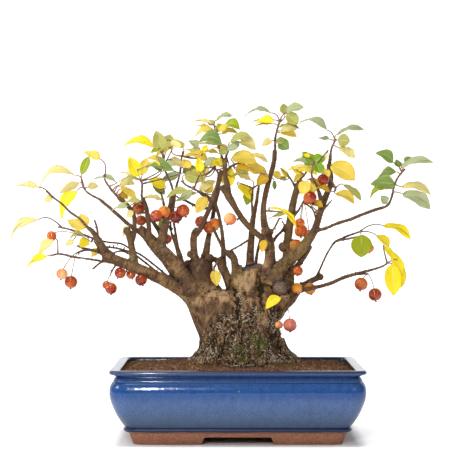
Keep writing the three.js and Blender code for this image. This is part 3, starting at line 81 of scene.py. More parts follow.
# Centre lines of the limbs: column, row, depth in mm and width in squares at each station.
LIMBS = {
    "left_low": ((212, 306, 0, 34), (200, 300, -5, 28), (186, 291, -12, 18), (170, 283, -20, 13.5),
        (155, 276, -28, 11.5), (143, 271, -34, 11), (130, 265.5, -40, 10.5), (117, 260.5, -46, 10.5),
        (108, 256, -50, 10), (104, 249, -54, 7.5), (99, 241, -58, 6), (92, 231, -62, 5),
        (88, 227.5, -66, 4.6)),
    "left_low_far": ((107, 257, -48, 5), (101, 253, -46, 4), (92, 250, -42, 3.2), (84, 248.5, -38, 2.8),
        (77, 245.5, -34, 2.4)),
    "left_hook": ((92, 250, -42, 2.6), (85, 250, -44, 2.6), (79, 252, -46, 2.4)),
    "left_down": ((109, 262, -48, 4), (101, 261, -52, 2.8), (88, 259, -58, 2.6), (74, 257, -64, 2.4)),
    "left_pair": ((102, 243, -56, 3), (95, 239, -48, 2.4), (88, 236.5, -38, 2.2)),
    "left_prong": ((98, 236, -59, 2.4), (97, 228, -62, 2.2), (94.5, 220, -66, 1.9)),
    "left_prong_low": ((103, 256, -50, 2.6), (99, 249, -42, 2.2), (95, 242, -34, 1.9)),
    "left_under": ((108, 260, -50, 2.6), (100, 263, -54, 2), (93, 269, -60, 1.9)),
    "left_under_spur": ((120, 262, -46, 3), (115, 266, -50, 2.2), (112, 271, -54, 1.8)),
    "whip_upper": ((180, 277, -8, 3), (170, 277, -2, 2.6), (158, 268, 2, 2.2), (144, 257, 4, 2.1),
        (132, 250, 4, 2), (122, 244, -2, 1.9), (110, 242.5, -22, 1.9), (102, 241, -44, 1.9)),
    "whip_lower": ((180, 279, -12, 3), (168, 280, -10, 2.6), (157, 272, -6, 2.2), (144, 261.5, -6, 2.2),
        (132, 253, -10, 2.2), (122, 249.5, -20, 2.1), (112, 247.5, -36, 2.1), (104, 247, -50, 2.2)),
    "whip_hook": ((134, 257, -14, 2), (124, 251.5, -24, 1.9), (116, 252, -36, 1.8),
        (110, 256, -46, 2.2)),
    "low_fork": ((134, 262, -40, 9.5), (132.5, 252, -46, 7), (130.5, 242, -50, 6.4), (128, 232, -54, 7),
        (127.5, 230, -55, 5)),
    "low_fork_up": ((131.5, 243, -50, 4.8), (134, 234, -48, 5.2), (134.5, 224, -44, 4.6),
        (133.5, 214, -40, 4.6), (128, 206, -34, 5), (118, 197, -26, 4.8)),
    "left_main": ((206, 306, 0, 36), (197, 292, -6, 27), (186, 281, -10, 22), (175, 267, -14, 17),
        (166, 256, -16, 15.5), (156, 246, -16, 13.5), (149, 238, -12, 11), (142, 231, -8, 9.5)),
    "left_long": ((146, 236, -10, 6), (136, 230, -4, 5), (128, 224, 4, 4.4), (118, 215, 14, 4),
        (110, 208, 22, 3.6), (101, 200.5, 32, 3.8)),
    "left_rise": ((149, 240, -14, 6.5), (149, 228, -20, 5), (147.5, 216, -26, 5), (146, 207, -32, 4.6),
        (142.5, 198, -38, 4.2)),
    "arm": ((160, 251, -16, 12), (162, 240, -20, 9.5), (164, 230, -24, 8.5), (166.5, 220, -26, 6.6),
        (170, 209, -28, 5.6), (172.5, 195.5, -30, 5.6)),
    "arm_left": ((164, 240, -12, 7), (158.5, 230, -4, 4.8), (153, 222, 6, 4.2), (148, 214, 16, 4)),
    "arm_middle": ((165, 226, -22, 4), (165.5, 214, -10, 3.6), (163.5, 203, -2, 3.4)),
    "pair_left": ((184, 274, 8, 9), (181, 262, 14, 7), (178, 250, 22, 5), (174, 240, 30, 3.4),
        (171, 231, 38, 2.8), (170.5, 221, 46, 2.6)),
    "pair_right": ((178.5, 251, 22, 4), (176.5, 240, 26, 3.4), (175, 229, 30, 3), (173, 218, 36, 2.8),
        (174.5, 200, 46, 2.6)),
    "head": ((210, 300, 4, 34), (205, 288, 0, 28), (201, 275, -4, 26), (200.5, 264, -6, 24),
        (200, 258, -6, 18)),
    "head_left": ((195, 262, -8, 9), (194, 250, -14, 7), (193.5, 240, -18, 6.8),
        (194.5, 233.5, -20, 8)),
    "head_left_up": ((194.5, 235, -20, 6), (199.5, 231, -22, 5.4), (203.5, 222, -24, 5),
        (208, 212, -26, 5), (213, 199, -26, 6), (217, 188, -26, 5.6), (219.5, 178, -26, 4.6),
        (221.5, 170, -30, 4)),
    "head_left_tip": ((218.5, 180, -26, 2.8), (218.5, 176, -22, 2.4)),
    "head_right": ((203, 262, 0, 9), (206.5, 250, 4, 7), (208, 240, 10, 6), (210.5, 228, 18, 5),
        (213, 216, 26, 4.6), (215, 204, 34, 4.4), (218, 194, 42, 3.6), (220.5, 186, 50, 2.8)),
    "stub": ((233, 300, -2, 16), (231, 287, -4, 11), (226, 275, -6, 9), (222, 266, -8, 10),
        (221, 262, -8, 8)),
    "stub_up": ((224, 268, -8, 6), (223.5, 254, -10, 5), (223, 242, -12, 4.6), (222, 231, -12, 4),
        (220, 221, -10, 3.6), (217.5, 211, -6, 4), (214, 203, -2, 5.2), (208, 198, 6, 5.4),
        (200, 192.5, 16, 4)),
    "stub_side": ((213, 208, -4, 3.2), (201, 208, 6, 3), (193, 204.5, 20, 2.8), (185, 200.5, 34, 2.6),
        (178.5, 198, 46, 2.4)),
    "knee": ((236, 278, -16, 10), (235, 266, -20, 7.6), (233.5, 257.5, -22, 7.4),
        (230.5, 254, -22, 6.4), (225.5, 251.5, -22, 4.6), (221, 244, -24, 3.6),
        (216.5, 235.5, -28, 3.6), (213, 227, -34, 3)),
    "cross_twig": ((214, 267, -22, 1.9), (221, 257.5, -25, 2), (229, 251.5, -26, 2), (239, 246, -22, 2),
        (249, 239.5, -4, 2.2)),
    "stool": ((243, 306, -6, 40), (245, 292, -10, 34), (247, 280, -12, 30), (249, 269.5, -14, 27)),
    "tall_left": ((250, 274, 4, 12), (250, 262, 8, 8.6), (250.5, 250, 10, 7.4), (251.5, 238, 14, 6.8),
        (252, 227, 18, 6), (253.5, 215, 24, 5.4)),
    "tall_left_a": ((253.5, 216, 24, 4), (252, 206, 32, 3.2), (252, 197, 42, 2.8), (253, 190, 50, 2.8)),
    "tall_left_b": ((254, 216, 24, 4.4), (256, 205, 20, 4), (257.5, 195, 14, 3.6), (259, 185, 8, 3),
        (261, 175, 4, 3)),
    "slim": ((253, 279, 4, 5), (255, 272, 18, 5), (256, 262, 26, 4), (257.5, 252, 34, 3.4),
        (259.5, 243, 42, 3), (262, 232, 50, 2.6)),
    "right_main": ((262, 314, -6, 34), (269, 298, -14, 24), (270.5, 282, -20, 15),
        (270, 266, -22, 11.5), (270, 252, -20, 10.5), (268.5, 241, -16, 11), (265.5, 230, -12, 8.6),
        (263.5, 216, -8, 6.4), (264, 202, -4, 5.6), (267, 188, 0, 5.6), (270.5, 175, 4, 5.2),
        (274, 162, 4, 5), (275, 150, 2, 5.2)),
    "crossing": ((269, 246, -24, 7), (262, 238, -32, 6.4), (252, 229.5, -42, 6), (243.5, 220.5, -48, 6),
        (236, 209, -52, 6), (230, 198.5, -54, 7.4), (225, 191, -54, 6.6), (220.5, 186, -52, 4.6)),
    "crown_stem": ((229, 198, -54, 7), (227.5, 187, -52, 6), (225, 175, -48, 4.6), (225, 166, -46, 4.6),
        (226, 158, -44, 4.8)),
    "crown_left": ((225.5, 167, -46, 3), (223, 160, -38, 2.6), (220, 151, -30, 2.4)),
    "crown_right": ((225.5, 172, -47, 3), (230, 167.5, -38, 2.4)),
    "back_twig": ((269, 246, -14, 4), (272, 243, -4, 4), (276, 237, 6, 3.4), (281, 232, 18, 3),
        (284.5, 226, 30, 2.8), (282, 221, 38, 2)),
    "small_twig": ((268, 240, -24, 3), (272, 232, -30, 2.2), (276, 225, -36, 1.9),
        (279.5, 218, -42, 1.8)),
    "right_mass": ((258, 316, 4, 36), (271, 304, 6, 36), (279, 292, 6, 28), (284, 280, 8, 22),
        (287, 268, 12, 15), (288, 256, 16, 11.5), (287.5, 243, 20, 8.8), (289, 230, 24, 8.2),
        (291, 216, 28, 8.2), (293, 204, 34, 7.4), (296, 192, 40, 6.8), (300, 181, 48, 6)),
    "right_mass_fork": ((296, 191, 40, 3.4), (293, 183, 50, 2.6), (289, 176.5, 60, 2.4)),
    "right_mass_spur": ((294, 216, 28, 3.4), (299, 209.5, 22, 2.6), (303, 202, 14, 2.2)),
    "right_limb": ((272, 284, -22, 20), (277, 272, -26, 15), (284, 264, -30, 13), (293, 256.5, -34, 12),
        (302, 248, -38, 11.5), (309, 239, -40, 9.4), (314.5, 230, -42, 7.4), (318.5, 218, -44, 6.8),
        (322, 206, -42, 7.2), (326, 196, -36, 6.4), (330, 186, -30, 5.6), (331, 176, -24, 5.4),
        (329.5, 166, -18, 4.2), (330.5, 155, -12, 3.6)),
    "right_limb_twin": ((290, 274, -24, 8), (298, 265, -26, 5.6), (305, 256, -30, 4.6),
        (311, 246, -36, 4)),
    "right_limb_back": ((322.5, 206, -42, 5), (320, 196, -52, 4.6), (317, 187, -62, 3.6)),
    "right_limb_fork": ((320, 214, -44, 3.4), (325, 208, -50, 2.6), (332, 200, -58, 2.2)),
    "right_limb_hook": ((316, 228, -42, 2.4), (315.5, 217, -50, 2.1), (312, 208.5, -58, 2),
        (305, 203.5, -64, 1.8)),
    "right_arm": ((315, 231, -42, 4.4), (325, 228.5, -52, 3.6), (337, 223.5, -60, 3.4),
        (350, 219.5, -66, 3.6), (361, 215, -68, 3.4), (373, 210.5, -68, 3.4), (383, 207.5, -66, 3.6)),
    "right_shoulder": ((276, 303, 2, 28), (288, 297, 10, 18), (296, 290.5, 18, 11), (305, 285, 26, 7),
        (313, 280, 32, 6), (320, 277, 38, 6)),
    "right_whip": ((315, 280, 33, 3.6), (320, 269, 42, 2.6), (324.5, 259, 52, 2.6),
        (329.5, 249.5, 60, 2.6), (335.5, 241.5, 68, 2.8), (344, 237.5, 74, 2.4)),
    "right_low": ((288, 296, -4, 9), (299, 291, -12, 5.4), (315, 287.5, -20, 4.2), (330, 283.5, -26, 4),
        (345, 277, -30, 4), (358, 273.5, -32, 3.6), (371, 270, -34, 3.4)),
}

# Knots on the stout limbs: column, row, depth in mm, width in squares.
KNOTS = (
    (280, 288, -34, 14), (281, 300, -14, 19), (190, 254, -12, 7), (209, 258, -12, 9), (214, 259, -8, 6),
    (188, 264, -4, 9), (262, 232, -16, 9), (270, 232, -18, 8), (108, 256, -50, 12.5),
    (196, 232, -21, 9), (231, 254.5, -22, 9), (221, 262, -9, 11), (255, 265, -4, 9), (283, 247, 16, 10),
    (320.5, 277, 38, 6.6), (127, 231, -55, 8), (286, 274, 10, 18), (240, 269, -18, 9),
    (142, 229.5, -8, 8), (288, 301, 4, 9),
)

# Sprays: name, limb, stem, colour group and leaves. A stem is a spur (column, row, reach in depth),
# the stations of a leafy shoot (column, row, depth) or None where the limb's own tip bears the leaves.
# A leaf is its base's column and row, its tip's column and row, width in squares, roll in degrees,
# arch as a share of its length, depth gained from base to tip in mm, and tint.
SPRAYS = (
    ("far_left", "left_low", ((80, 219, -70), (70, 212, -75), (62, 204, -80), (54, 198, -84),
        (46, 191, -88)), "leaf_pale", ((38, 187, 15, 186, 10, 62, 0.05, -8, "butter"),
        (52, 198, 44, 200, 8, 20, 0, 6, "butter"), (85, 228, 67, 220, 11, 15, 0, 12, "gold"),
        (87, 226, 80, 214, 10, 12, 0, 22, "gold"))),
    ("left_end", "left_long", ((93, 196, 40), (86, 191, 46), (82, 184, 50)), "leaf_yellow",
        ((76, 176, 39, 190, 13, 58, 0.32, -10, "butter"),
        (77, 191, 62, 219, 13, 28, 0.14, -18, "lemon"), (79, 183, 60, 193, 9, 20, 0.05, 12, "butter"),
        (88, 187, 99, 186, 8, 20, 0.1, 14, "butter"), (82, 174, 89, 156, 10, 22, 0, 4, "lime"))),
    ("left_top", "low_fork_up", ((110, 188, -18), (105, 180, -10), (104, 175, -6)), "leaf_gold",
        ((100, 159, 84, 152, 9, 25, 0.1, 8, "gold"), (116, 182, 91, 181, 9, 70, 0.18, 14, "sage"),
        (121, 187, 136, 199, 9, 35, 0.05, -16, "gold"), (120, 185, 135, 184, 9, 20, 0.2, 10, "butter"),
        (126, 192, 119, 202, 8, 25, 0, 6, "amber"), (122, 190, 128, 199, 7, 20, 0, 10, "gold"))),
    ("left_drop", "left_pair", ((82, 234, -30), (76, 231.5, -22), (66, 228.5, -12), (58, 227, -4)),
        "leaf_pale", ((38, 220, 9, 242, 12, 52, 0.22, 8, "butter"),
        (84, 235, 70, 238, 9, 55, 0.2, -12, "olive"), (73, 240, 66, 245, 7, 25, 0, -16, "butter"),
        (88, 239, 80, 247, 10, 12, 0, -14, "lemon"))),
    ("left_low_tip", "left_down", ((66, 255, -67), (58, 254, -69), (50, 256, -72)), "leaf_yellow",
        ((54, 240, 39, 258, 11, 40, 0.16, 12, "butter"), (47, 256, 26, 266, 9, 45, 0.1, -8, "lemon"))),
    ("left_low_back", "left_low_far", (98, 247, 12), "leaf_gold",
        ((99, 250, 91, 257, 9, 45, 0.1, 12, "gold"),)),
    ("mid_left", "left_rise", ((142, 190, -44), (142, 184, -48), (140, 179, -52)), "leaf_yellow",
        ((139, 176, 129, 157, 13, 8, 0, -6, "lemon"), (142, 175, 147, 158, 10, 15, 0, 10, "gold"),
        (176, 172, 137, 172, 13, 64, 0.17, -16, "green"),
        (138, 180, 119, 181, 9, 68, 0.14, 12, "olive"), (134, 177, 119, 173, 8, 66, 0.1, 26, "butter"),
        (144, 198, 163, 201, 9, 62, 0.1, 14, "butter"), (160, 166, 148, 163, 7, 40, 0.05, 30, "gold"),
        (161, 168, 157, 155, 7, 20, 0, 34, "butter"))),
    ("mid_left_under", "left_rise", (139, 201, -10), "leaf_light",
        ((141, 201, 124, 203, 9, 60, 0.08, -6, "olive"), (128, 206, 112, 210, 8, 55, 0.1, 4, "sage"),
        (133, 211, 127, 217, 7, 20, 0, 6, "butter"))),
    ("fork_dull", "low_fork", (130, 227, 4), "leaf_pale",
        ((131, 228, 123, 237, 8, 40, 0.2, 8, "butter"),)),
    ("arm_yellow", "arm_middle", ((161.5, 195, 4), (160, 190, 6)), "leaf_yellow",
        ((165, 186, 149, 180, 12, 25, 0, -8, "lemon"), (153, 184, 165, 194, 10, 30, 0, 10, "green"))),
    ("high_left", "arm", ((172, 187, -26), (168, 177, -20), (164, 168, -14), (163, 163, -12)),
        "leaf_light", ((162, 151, 156, 131, 14, 8, 0, -8, "olive"),
        (166, 150, 170, 134, 14, 12, 0, 8, "olive"), (154, 148, 124, 145, 13, 50, 0.18, -12, "lemon"),
        (169, 148, 155, 156, 10, 50, 0.06, 2, "gold"), (163, 180, 181, 174, 9, 45, 0.08, 12, "sage"),
        (168, 197, 188, 190, 10, 45, 0.12, -10, "olive"), (171, 141, 181, 147, 8, 30, 0, -14, "butter"),
        (161, 171, 148, 163, 7, 40, 0.08, -6, "green"), (164, 165, 158, 156, 7, 25, 0, -16, "olive"),
        (158, 149, 151, 153, 6, 40, 0, -14, "lime"), (172, 160, 184, 166, 8, 30, 0, 20, "butter"),
        (158, 160, 146, 158, 7, 45, 0.1, 24, "gold"))),
    ("arm_small", "pair_left", (164, 216, -4), "leaf_green",
        ((167, 218, 160, 231, 11, 8, 0, -6, "green"),)),
    ("high_middle", "pair_right", ((176, 188, 48), (180, 173, 44), (181, 161, 40), (183, 151, 36)),
        "leaf_green", ((181, 161, 164, 167, 12, 40, 0.12, 8, "sage"),
        (183, 173, 198, 168, 11, 40, 0.1, 12, "green"), (183, 148, 177, 140, 8, 30, 0, 8, "olive"),
        (198, 147, 188, 141, 9, 35, 0.1, 14, "sage"), (172, 150, 176, 138, 8, 40, 0, -6, "butter"),
        (208, 160, 184, 154, 12, 45, 0.12, -6, "gold"), (200, 153, 185, 149, 8, 35, 0.08, 20, "butter"),
        (190, 168, 183, 159, 9, 20, 0, 16, "gold"), (203, 153, 207, 145, 7, 20, 0, -10, "lemon"),
        (178, 176, 164, 182, 9, 40, 0.1, 18, "green"))),
    ("broad_light", "stub_up", ((194, 189, 26), (187, 185.5, 36), (181, 181, 46)), "leaf_light",
        ((185, 175, 203, 180, 15, 8, 0.05, -12, "olive"),
        (207, 163, 203, 187, 11, 40, 0.06, 14, "butter"), (212, 192, 203, 183, 11, 12, 0, 8, "gold"),
        (192, 190, 175, 200, 11, 45, -0.08, -10, "sage"),
        (197, 193, 186, 199, 5, 60, 0.15, 10, "olive"),
        (200, 191, 216, 180, 10, 25, 0.06, 22, "butter"), (195, 181, 186, 172, 9, 20, 0, 28, "gold"))),
    ("gold_hang", "stub_side", (204, 203, -6), "leaf_gold",
        ((206, 197, 196, 213, 12, 15, 0, -8, "gold"),)),
    ("mid_gold", "head_left_tip", ((217, 171, -16), (213.5, 166, -10)), "leaf_gold",
        ((224, 165, 213, 161, 10, 30, 0.08, -16, "lemon"), (222, 172, 224, 184, 7, 30, 0, 12, "gold"),
        (218, 153, 200, 151, 9, 66, 0.06, 12, "gold"), (204, 173, 199, 160, 7, 20, 0.05, -4, "olive"),
        (205, 166, 217, 158, 9, 35, 0.1, -14, "sage"), (222, 166, 208, 160, 9, 40, 0.08, 22, "gold"),
        (200, 172, 199, 158, 9, 15, 0, 20, "lemon"), (210, 167, 224, 161, 8, 30, 0.1, 4, "butter"),
        (205, 176, 192, 170, 8, 45, 0.1, 26, "gold"))),
    ("crown_dark", "crown_stem", ((227.5, 153, -43), (229, 148, -42)), "leaf_green",
        ((222, 144, 199, 142, 17, 38, 0.26, -14, "green"),
        (218, 145, 196, 144, 8, 66, 0.06, 6, "olive"), (231, 142, 253, 138, 12, 42, 0.14, 2, "olive"),
        (240, 142, 256, 149, 12, 30, 0.12, 12, "butter"), (227, 149, 238, 147, 9, 35, 0, -10, "sage"),
        (229, 167, 231, 186, 10, 18, 0, -12, "lemon"), (227, 150, 219, 154, 8, 30, 0, -8, "olive"),
        (231, 150, 239, 142, 8, 20, 0, 24, "sage"), (226, 151, 214, 147, 8, 40, 0.1, 20, "gold"),
        (233, 176, 250, 173, 6, 50, 0.08, 20, "olive"))),
    ("crown_top", "crown_left", ((218, 144, -24), (216.5, 136, -18), (217, 131, -14)), "leaf_lime",
        ((224, 126, 240, 130, 14, 42, 0.28, -4, "lime"), (217, 120, 233, 115, 9, 55, 0.12, 6, "sage"),
        (214, 125, 208, 120, 8, 30, 0, 10, "olive"), (214, 131, 196, 136, 11, 50, 0.2, -8, "gold"),
        (212, 124, 191, 121, 8, 66, 0.1, 2, "butter"), (222, 134, 239, 133, 9, 52, 0.16, 14, "gold"),
        (207, 127, 195, 125, 6, 60, 0.08, 12, "butter"), (217, 129, 222, 124, 7, 20, 0, -6, "lime"),
        (219, 131, 228, 124, 8, 25, 0, 20, "gold"), (213, 136, 203, 140, 8, 40, 0, 16, "amber"))),
    ("crown_broad", "crown_right", ((236, 164, -26), (243, 162, -14)), "leaf_yellow",
        ((232, 158, 257, 162, 15, 22, 0.1, 4, "gold"), (249, 156, 269, 161, 10, 52, 0.1, 16, "butter"),
        (236, 168, 249, 171, 13, 18, 0.05, 10, "amber"), (248, 164, 268, 180, 12, 42, 0.12, 24, "gold"),
        (236, 170, 246, 178, 9, 30, 0, 30, "butter"), (246, 166, 260, 173, 9, 30, 0, 34, "gold"))),
    ("orange_leaf", "tall_left_b", None, "leaf_gold",
        ((268, 177, 257, 185, 11, 22, 0.08, -6, "amber"),)),
    ("bright_leaf", "tall_left_a", None, "leaf_yellow",
        ((238, 185, 253, 201, 12, 34, 0.1, -10, "lemon"), (249, 192, 247, 205, 10, 20, 0, 10, "lime"),
        (251, 180, 233, 174, 9, 50, 0.1, -10, "butter"), (274, 181, 275, 190, 5, 20, 0, 30, "green"))),
    ("strap", "right_main", (268, 211, -8), "leaf_yellow",
        ((270, 208, 298, 227, 9, 58, 0.16, -16, "lemon"),
        (285, 214, 268, 218, 5, 50, 0.06, 14, "olive"))),
    ("stem_orange", "right_main", (266, 250, -18), "leaf_gold",
        ((265, 240, 262, 252, 9, 30, 0, -4, "amber"),)),
    ("trunk_gold", "cross_twig", (214, 269, -2), "leaf_gold",
        ((215, 270, 217, 286, 11, 20, 0, -2, "gold"),)),
    ("trunk_yellow", "right_shoulder", (286, 297, -52), "leaf_yellow",
        ((280, 297, 266, 309, 10, 15, 0.1, -8, "lemon"),)),
    ("top", "right_main", ((275, 141, -2), (276.5, 132, -6), (278.5, 125, -10), (281, 119, -14)),
        "leaf_light", ((285, 114, 284, 103, 11, 20, 0, 8, "olive"),
        (286, 113, 304, 107, 12, 40, 0.1, 0, "sage"), (287, 114, 298, 124, 13, 15, 0, -8, "olive"),
        (271, 113, 245, 116, 9, 66, 0.2, 10, "sage"), (272, 141, 262, 146, 9, 40, 0.1, 12, "butter"),
        (274, 120, 256, 122, 10, 40, 0.06, -8, "lemon"), (281, 133, 297, 136, 11, 40, 0.08, -4, "gold"),
        (280, 127, 301, 128, 9, 62, 0.14, 10, "olive"), (279, 142, 289, 149, 13, 12, 0, -6, "green"),
        (275, 120, 250, 121, 6, 60, 0.06, 12, "gold"), (281, 131, 297, 129, 8, 30, 0.08, 14, "butter"),
        (277, 143, 285, 138, 8, 25, 0, 12, "olive"), (272, 124, 254, 127, 6, 60, 0.1, 18, "olive"))),
    ("right_top", "right_limb", ((332, 147, -6), (336, 139, 0)), "leaf_light",
        ((327, 130, 300, 122, 13, 56, 0.24, 10, "sage"), (329, 139, 318, 138, 7, 55, 0, 16, "sage"),
        (338, 134, 365, 129, 11, 58, 0.14, 6, "sage"), (338, 140, 350, 141, 14, 12, 0, -8, "olive"),
        (339, 148, 355, 158, 11, 35, 0.1, -4, "butter"))),
    ("right_gold", "right_limb", (334, 187, -4), "leaf_gold",
        ((331, 165, 355, 180, 18, 8, 0.08, 8, "gold"), (336, 194, 355, 203, 12, 38, 0.14, -10, "gold"),
        (344, 185, 361, 201, 10, 48, 0.1, 6, "olive"), (330, 191, 316, 188, 8, 45, 0.1, -18, "amber"),
        (329, 177, 320, 167, 9, 25, 0, 12, "gold"))),
    ("right_inner", "right_limb_back", ((314, 181, -68), (311.5, 174, -72), (313, 168, -74)),
        "leaf_green", ((314, 165, 303, 152, 15, 30, -0.06, 8, "grass"),
        (317, 164, 320, 173, 12, 20, 0, -8, "grass"), (315, 162, 325, 157, 12, 20, 0.1, 4, "grass"),
        (307, 181, 302, 194, 13, 15, 0, -6, "gold"), (308, 163, 293, 161, 7, 50, 0.12, -16, "sage"),
        (310, 157, 301, 152, 6, 45, 0, 8, "lemon"), (313, 182, 312, 195, 9, 20, 0, 8, "gold"),
        (327, 153, 322, 162, 5, 25, 0, 10, "butter"), (312, 170, 296, 168, 9, 40, 0.1, 16, "gold"),
        (310, 180, 322, 184, 8, 30, 0, 14, "amber"))),
    ("right_hang", "right_limb_hook", (317, 212, -4), "leaf_gold",
        ((312, 204, 323, 207, 9, 38, 0.15, -6, "amber"),)),
    ("right_yellow", "right_mass", ((304, 175.5, 54), (307, 171, 58)), "leaf_yellow",
        ((298, 170, 318, 175, 10, 48, 0.14, -12, "lemon"),
        (308, 168, 287, 170, 9, 55, 0.08, 6, "butter"), (303, 174, 293, 182, 8, 35, 0, 6, "gold"),
        (302, 174, 291, 166, 8, 30, 0, 16, "lemon"), (305, 186, 296, 193, 9, 20, 0, 12, "gold"))),
    ("right_back", "right_mass_fork", None, "leaf_yellow",
        ((281, 169, 289, 177, 9, 48, -0.1, 6, "lemon"), (281, 177, 270, 172, 9, 35, 0, -6, "gold"),
        (287, 179.5, 276, 178, 6, 45, 0, -8, "sage"))),
    ("right_end", "right_arm", ((389, 203.5, -62), (392, 196, -58), (394, 187, -54), (397, 179, -50),
        (401, 173.5, -46), (405, 169, -42)), "leaf_green",
        ((393, 162, 376, 153, 13, 30, 0.14, -8, "green"),
        (401, 168, 434, 162, 12, 52, 0.14, -10, "sage"), (399, 167, 397, 159, 9, 30, 0, 8, "green"),
        (406, 163, 411, 157, 9, 25, 0, 10, "green"), (396, 172, 377, 178, 11, 48, 0.14, 14, "green"),
        (394, 184, 371, 184, 14, 22, 0.06, -4, "green"), (388, 189, 370, 197, 10, 55, 0.2, -10, "lime"),
        (387, 203, 381, 196, 9, 20, 0, -6, "sage"), (402, 187, 432, 195, 12, 45, 0.18, 8, "butter"),
        (403, 194, 431, 208, 16, 30, 0.12, -12, "sage"))),
    ("whip", "right_whip", ((353, 234, 80), (362, 231, 84)), "leaf_lime",
        ((361, 235, 362, 257, 22, 6, 0, -8, "lime"), (384, 226, 412, 239, 12, 42, 0.14, 6, "lemon"),
        (377, 236, 389, 247, 11, 35, 0.1, -8, "lemon"))),
    ("low_end", "right_low", ((383, 266, -36), (389, 262, -37)), "leaf_yellow",
        ((392, 265, 394, 296, 19, 14, 0, -6, "lemon"), (385, 247, 402, 275, 12, 34, 0.06, 8, "lemon"),
        (398, 262, 403, 288, 14, 30, 0, 16, "lemon"))),
)

# Bunches: name, limb, stem as above, and fruit: column, row, width in squares, depth gained in mm
# from the stem, and tint.
BUNCHES = (
    ("far_left_one", "left_pair", (92, 241, -8), ((51.5, 236, 10, 2, "orange"),)),
    ("left_low_pair", "left_hook", None, ((62, 274, 11.5, -6, "peach"), (71, 282, 13, 4, "scarlet"))),
    ("left_hanging", "left_under_spur", None, ((106.5, 285, 8.5, -4, "scarlet"),
        (111, 288.5, 12, 2, "scarlet"))),
    ("left_under_row", "left_low", (127, 270, -2), ((120, 273, 11.5, -8, "red"),
        (131, 274.5, 9.5, 4, "russet"), (141, 280, 12, 0, "wine"))),
    ("left_stem_pair", "left_rise", (142, 213, 4), ((138.5, 208.5, 13, -8, "red"),
        (141, 220.5, 11, 4, "russet"))),
    ("arm_cluster", "arm", (166, 214, -6), ((156.5, 216, 12.5, -14, "red"),
        (164, 212, 12.5, -16, "orange"), (183, 211, 13.5, -6, "scarlet"), (176, 217, 13, 6, "wine"))),
    ("arm_behind", "arm", (165, 234, 8), ((167, 239, 10, 14, "russet"),)),
    ("middle_pair", "head_left_up", (205, 222, 6), ((201, 222, 12.5, 22, "red"),
        (209.5, 227.5, 13, -16, "scarlet"), (215, 224, 12, 10, "orange"))),
    ("middle_one", "crossing", (238, 219, -12), ((230, 219, 12.5, -6, "peach"),)),
    ("right_upper", "right_limb_hook", None, ((310, 198, 13.5, -6, "scarlet"),)),
    ("right_high_pair", "right_limb", (327, 183, -8), ((323, 180, 12, -12, "scarlet"),
        (318, 184, 8, -2, "russet"))),
    ("right_cluster", "right_mass_spur", None, ((300, 223, 10, -14, "orange"),
        (301, 231, 13.5, -22, "orange"), (309, 235, 11, 0, "russet"))),
    ("right_single", "right_mass", (293, 240, -8), ((296, 245.5, 13, -12, "orange"),)),
    ("right_long", "right_limb_twin", (302, 263, -6), ((298, 271, 10, -4, "scarlet"),)),
    ("right_low_pair", "right_shoulder", (301, 283, -14), ((297, 288.5, 11.5, -16, "orange"),
        (310, 289, 12, -20, "orange"))),
    ("trunk_pair", "right_shoulder", (287, 306, -28), ((290, 325, 13.5, -8, "rose"),
        (279, 325, 8, -26, "peach"))),
    ("right_end_pair", "right_low", (366, 274, -2), ((361, 284, 13.5, -6, "russet"),
        (375, 294.5, 13.5, 2, "russet"))),
    ("whip_behind", "right_whip", (361, 236, 6), ((369, 248, 10.5, 14, "peach"),)),
)

# ---- places and paths -----------------------------------------------------------------------


CURVE_STEPS = 60  # in which a curve is measured and searched


def at(column, row, depth):
    """The point in mm that stands behind a square of the front elevation, at a depth."""
    scale = (depth - EYE[1]) / GRID_FOCUS
    return np.array([
        EYE[0] + (column - GRID_CENTRE) * scale, depth, EYE[2] - (row - GRID_CENTRE) * scale,
    ])


def squares(points):
    """Columns and rows at which the front elevation shows some points."""
    scale = (points[:, 1] - EYE[1]) / GRID_FOCUS
    column = GRID_CENTRE + (points[:, 0] - EYE[0]) / scale
    row = GRID_CENTRE - (points[:, 2] - EYE[2]) / scale
    return np.stack([column, row], axis=1)


def unit(vector):
    return vector / max(np.linalg.norm(vector), 1e-9)


class Path:
    """A smooth curve through points, evenly counted from 0 at the first to 1 at the last."""

    def __init__(self, points):
        points = [np.asarray(point, float) for point in points]
        self.points = [points[0] * 2 - points[1], *points, points[-1] * 2 - points[-2]]
        self.spans = len(points) - 1

    def point(self, share):
        place = min(max(share, 0), 1) * self.spans
        span = min(int(place), self.spans - 1)
        t = place - span
        a, b, c, d = self.points[span:span + 4]
        gaps = [max(np.linalg.norm(q - p), 1e-6) ** 0.5 for p, q in ((a, b), (b, c), (c, d))]
        into = (b - a) / gaps[0] - (c - a) / (gaps[0] + gaps[1]) + (c - b) / gaps[1]
        out = (c - b) / gaps[1] - (d - b) / (gaps[1] + gaps[2]) + (d - c) / gaps[2]
        into, out = into * gaps[1], out * gaps[1]
        return (
            b + into * t + (3 * (c - b) - 2 * into - out) * t * t
            + (2 * (b - c) + into + out) * t ** 3
        )

    def heading(self, share):
        return unit(self.point(share + 1e-4) - self.point(share - 1e-4))

    def length(self):
        places = [self.point(i / CURVE_STEPS) for i in range(CURVE_STEPS + 1)]
        return sum(np.linalg.norm(q - p) for p, q in zip(places, places[1:]))

    def samples(self, step):
        """Even shares of the curve about a step in mm apart, and the points there."""
        count = max(3, round(self.length() / step))
        shares = [i / count for i in range(count + 1)]
        return shares, np.array([self.point(share) for share in shares])


def along(values, share):
    """A value between evenly counted stations."""
    return float(np.interp(share * (len(values) - 1), range(len(values)), values))


def nearest(line, column, row, start, end):
    """The place on a line of points that the front elevation shows nearest to a square."""
    places = [line(start + (end - start) * i / CURVE_STEPS) for i in range(CURVE_STEPS + 1)]
    return min(places, key=lambda place: np.linalg.norm(at(column, row, place[1]) - place))


# ---- node trees -----------------------------------------------------------------------------


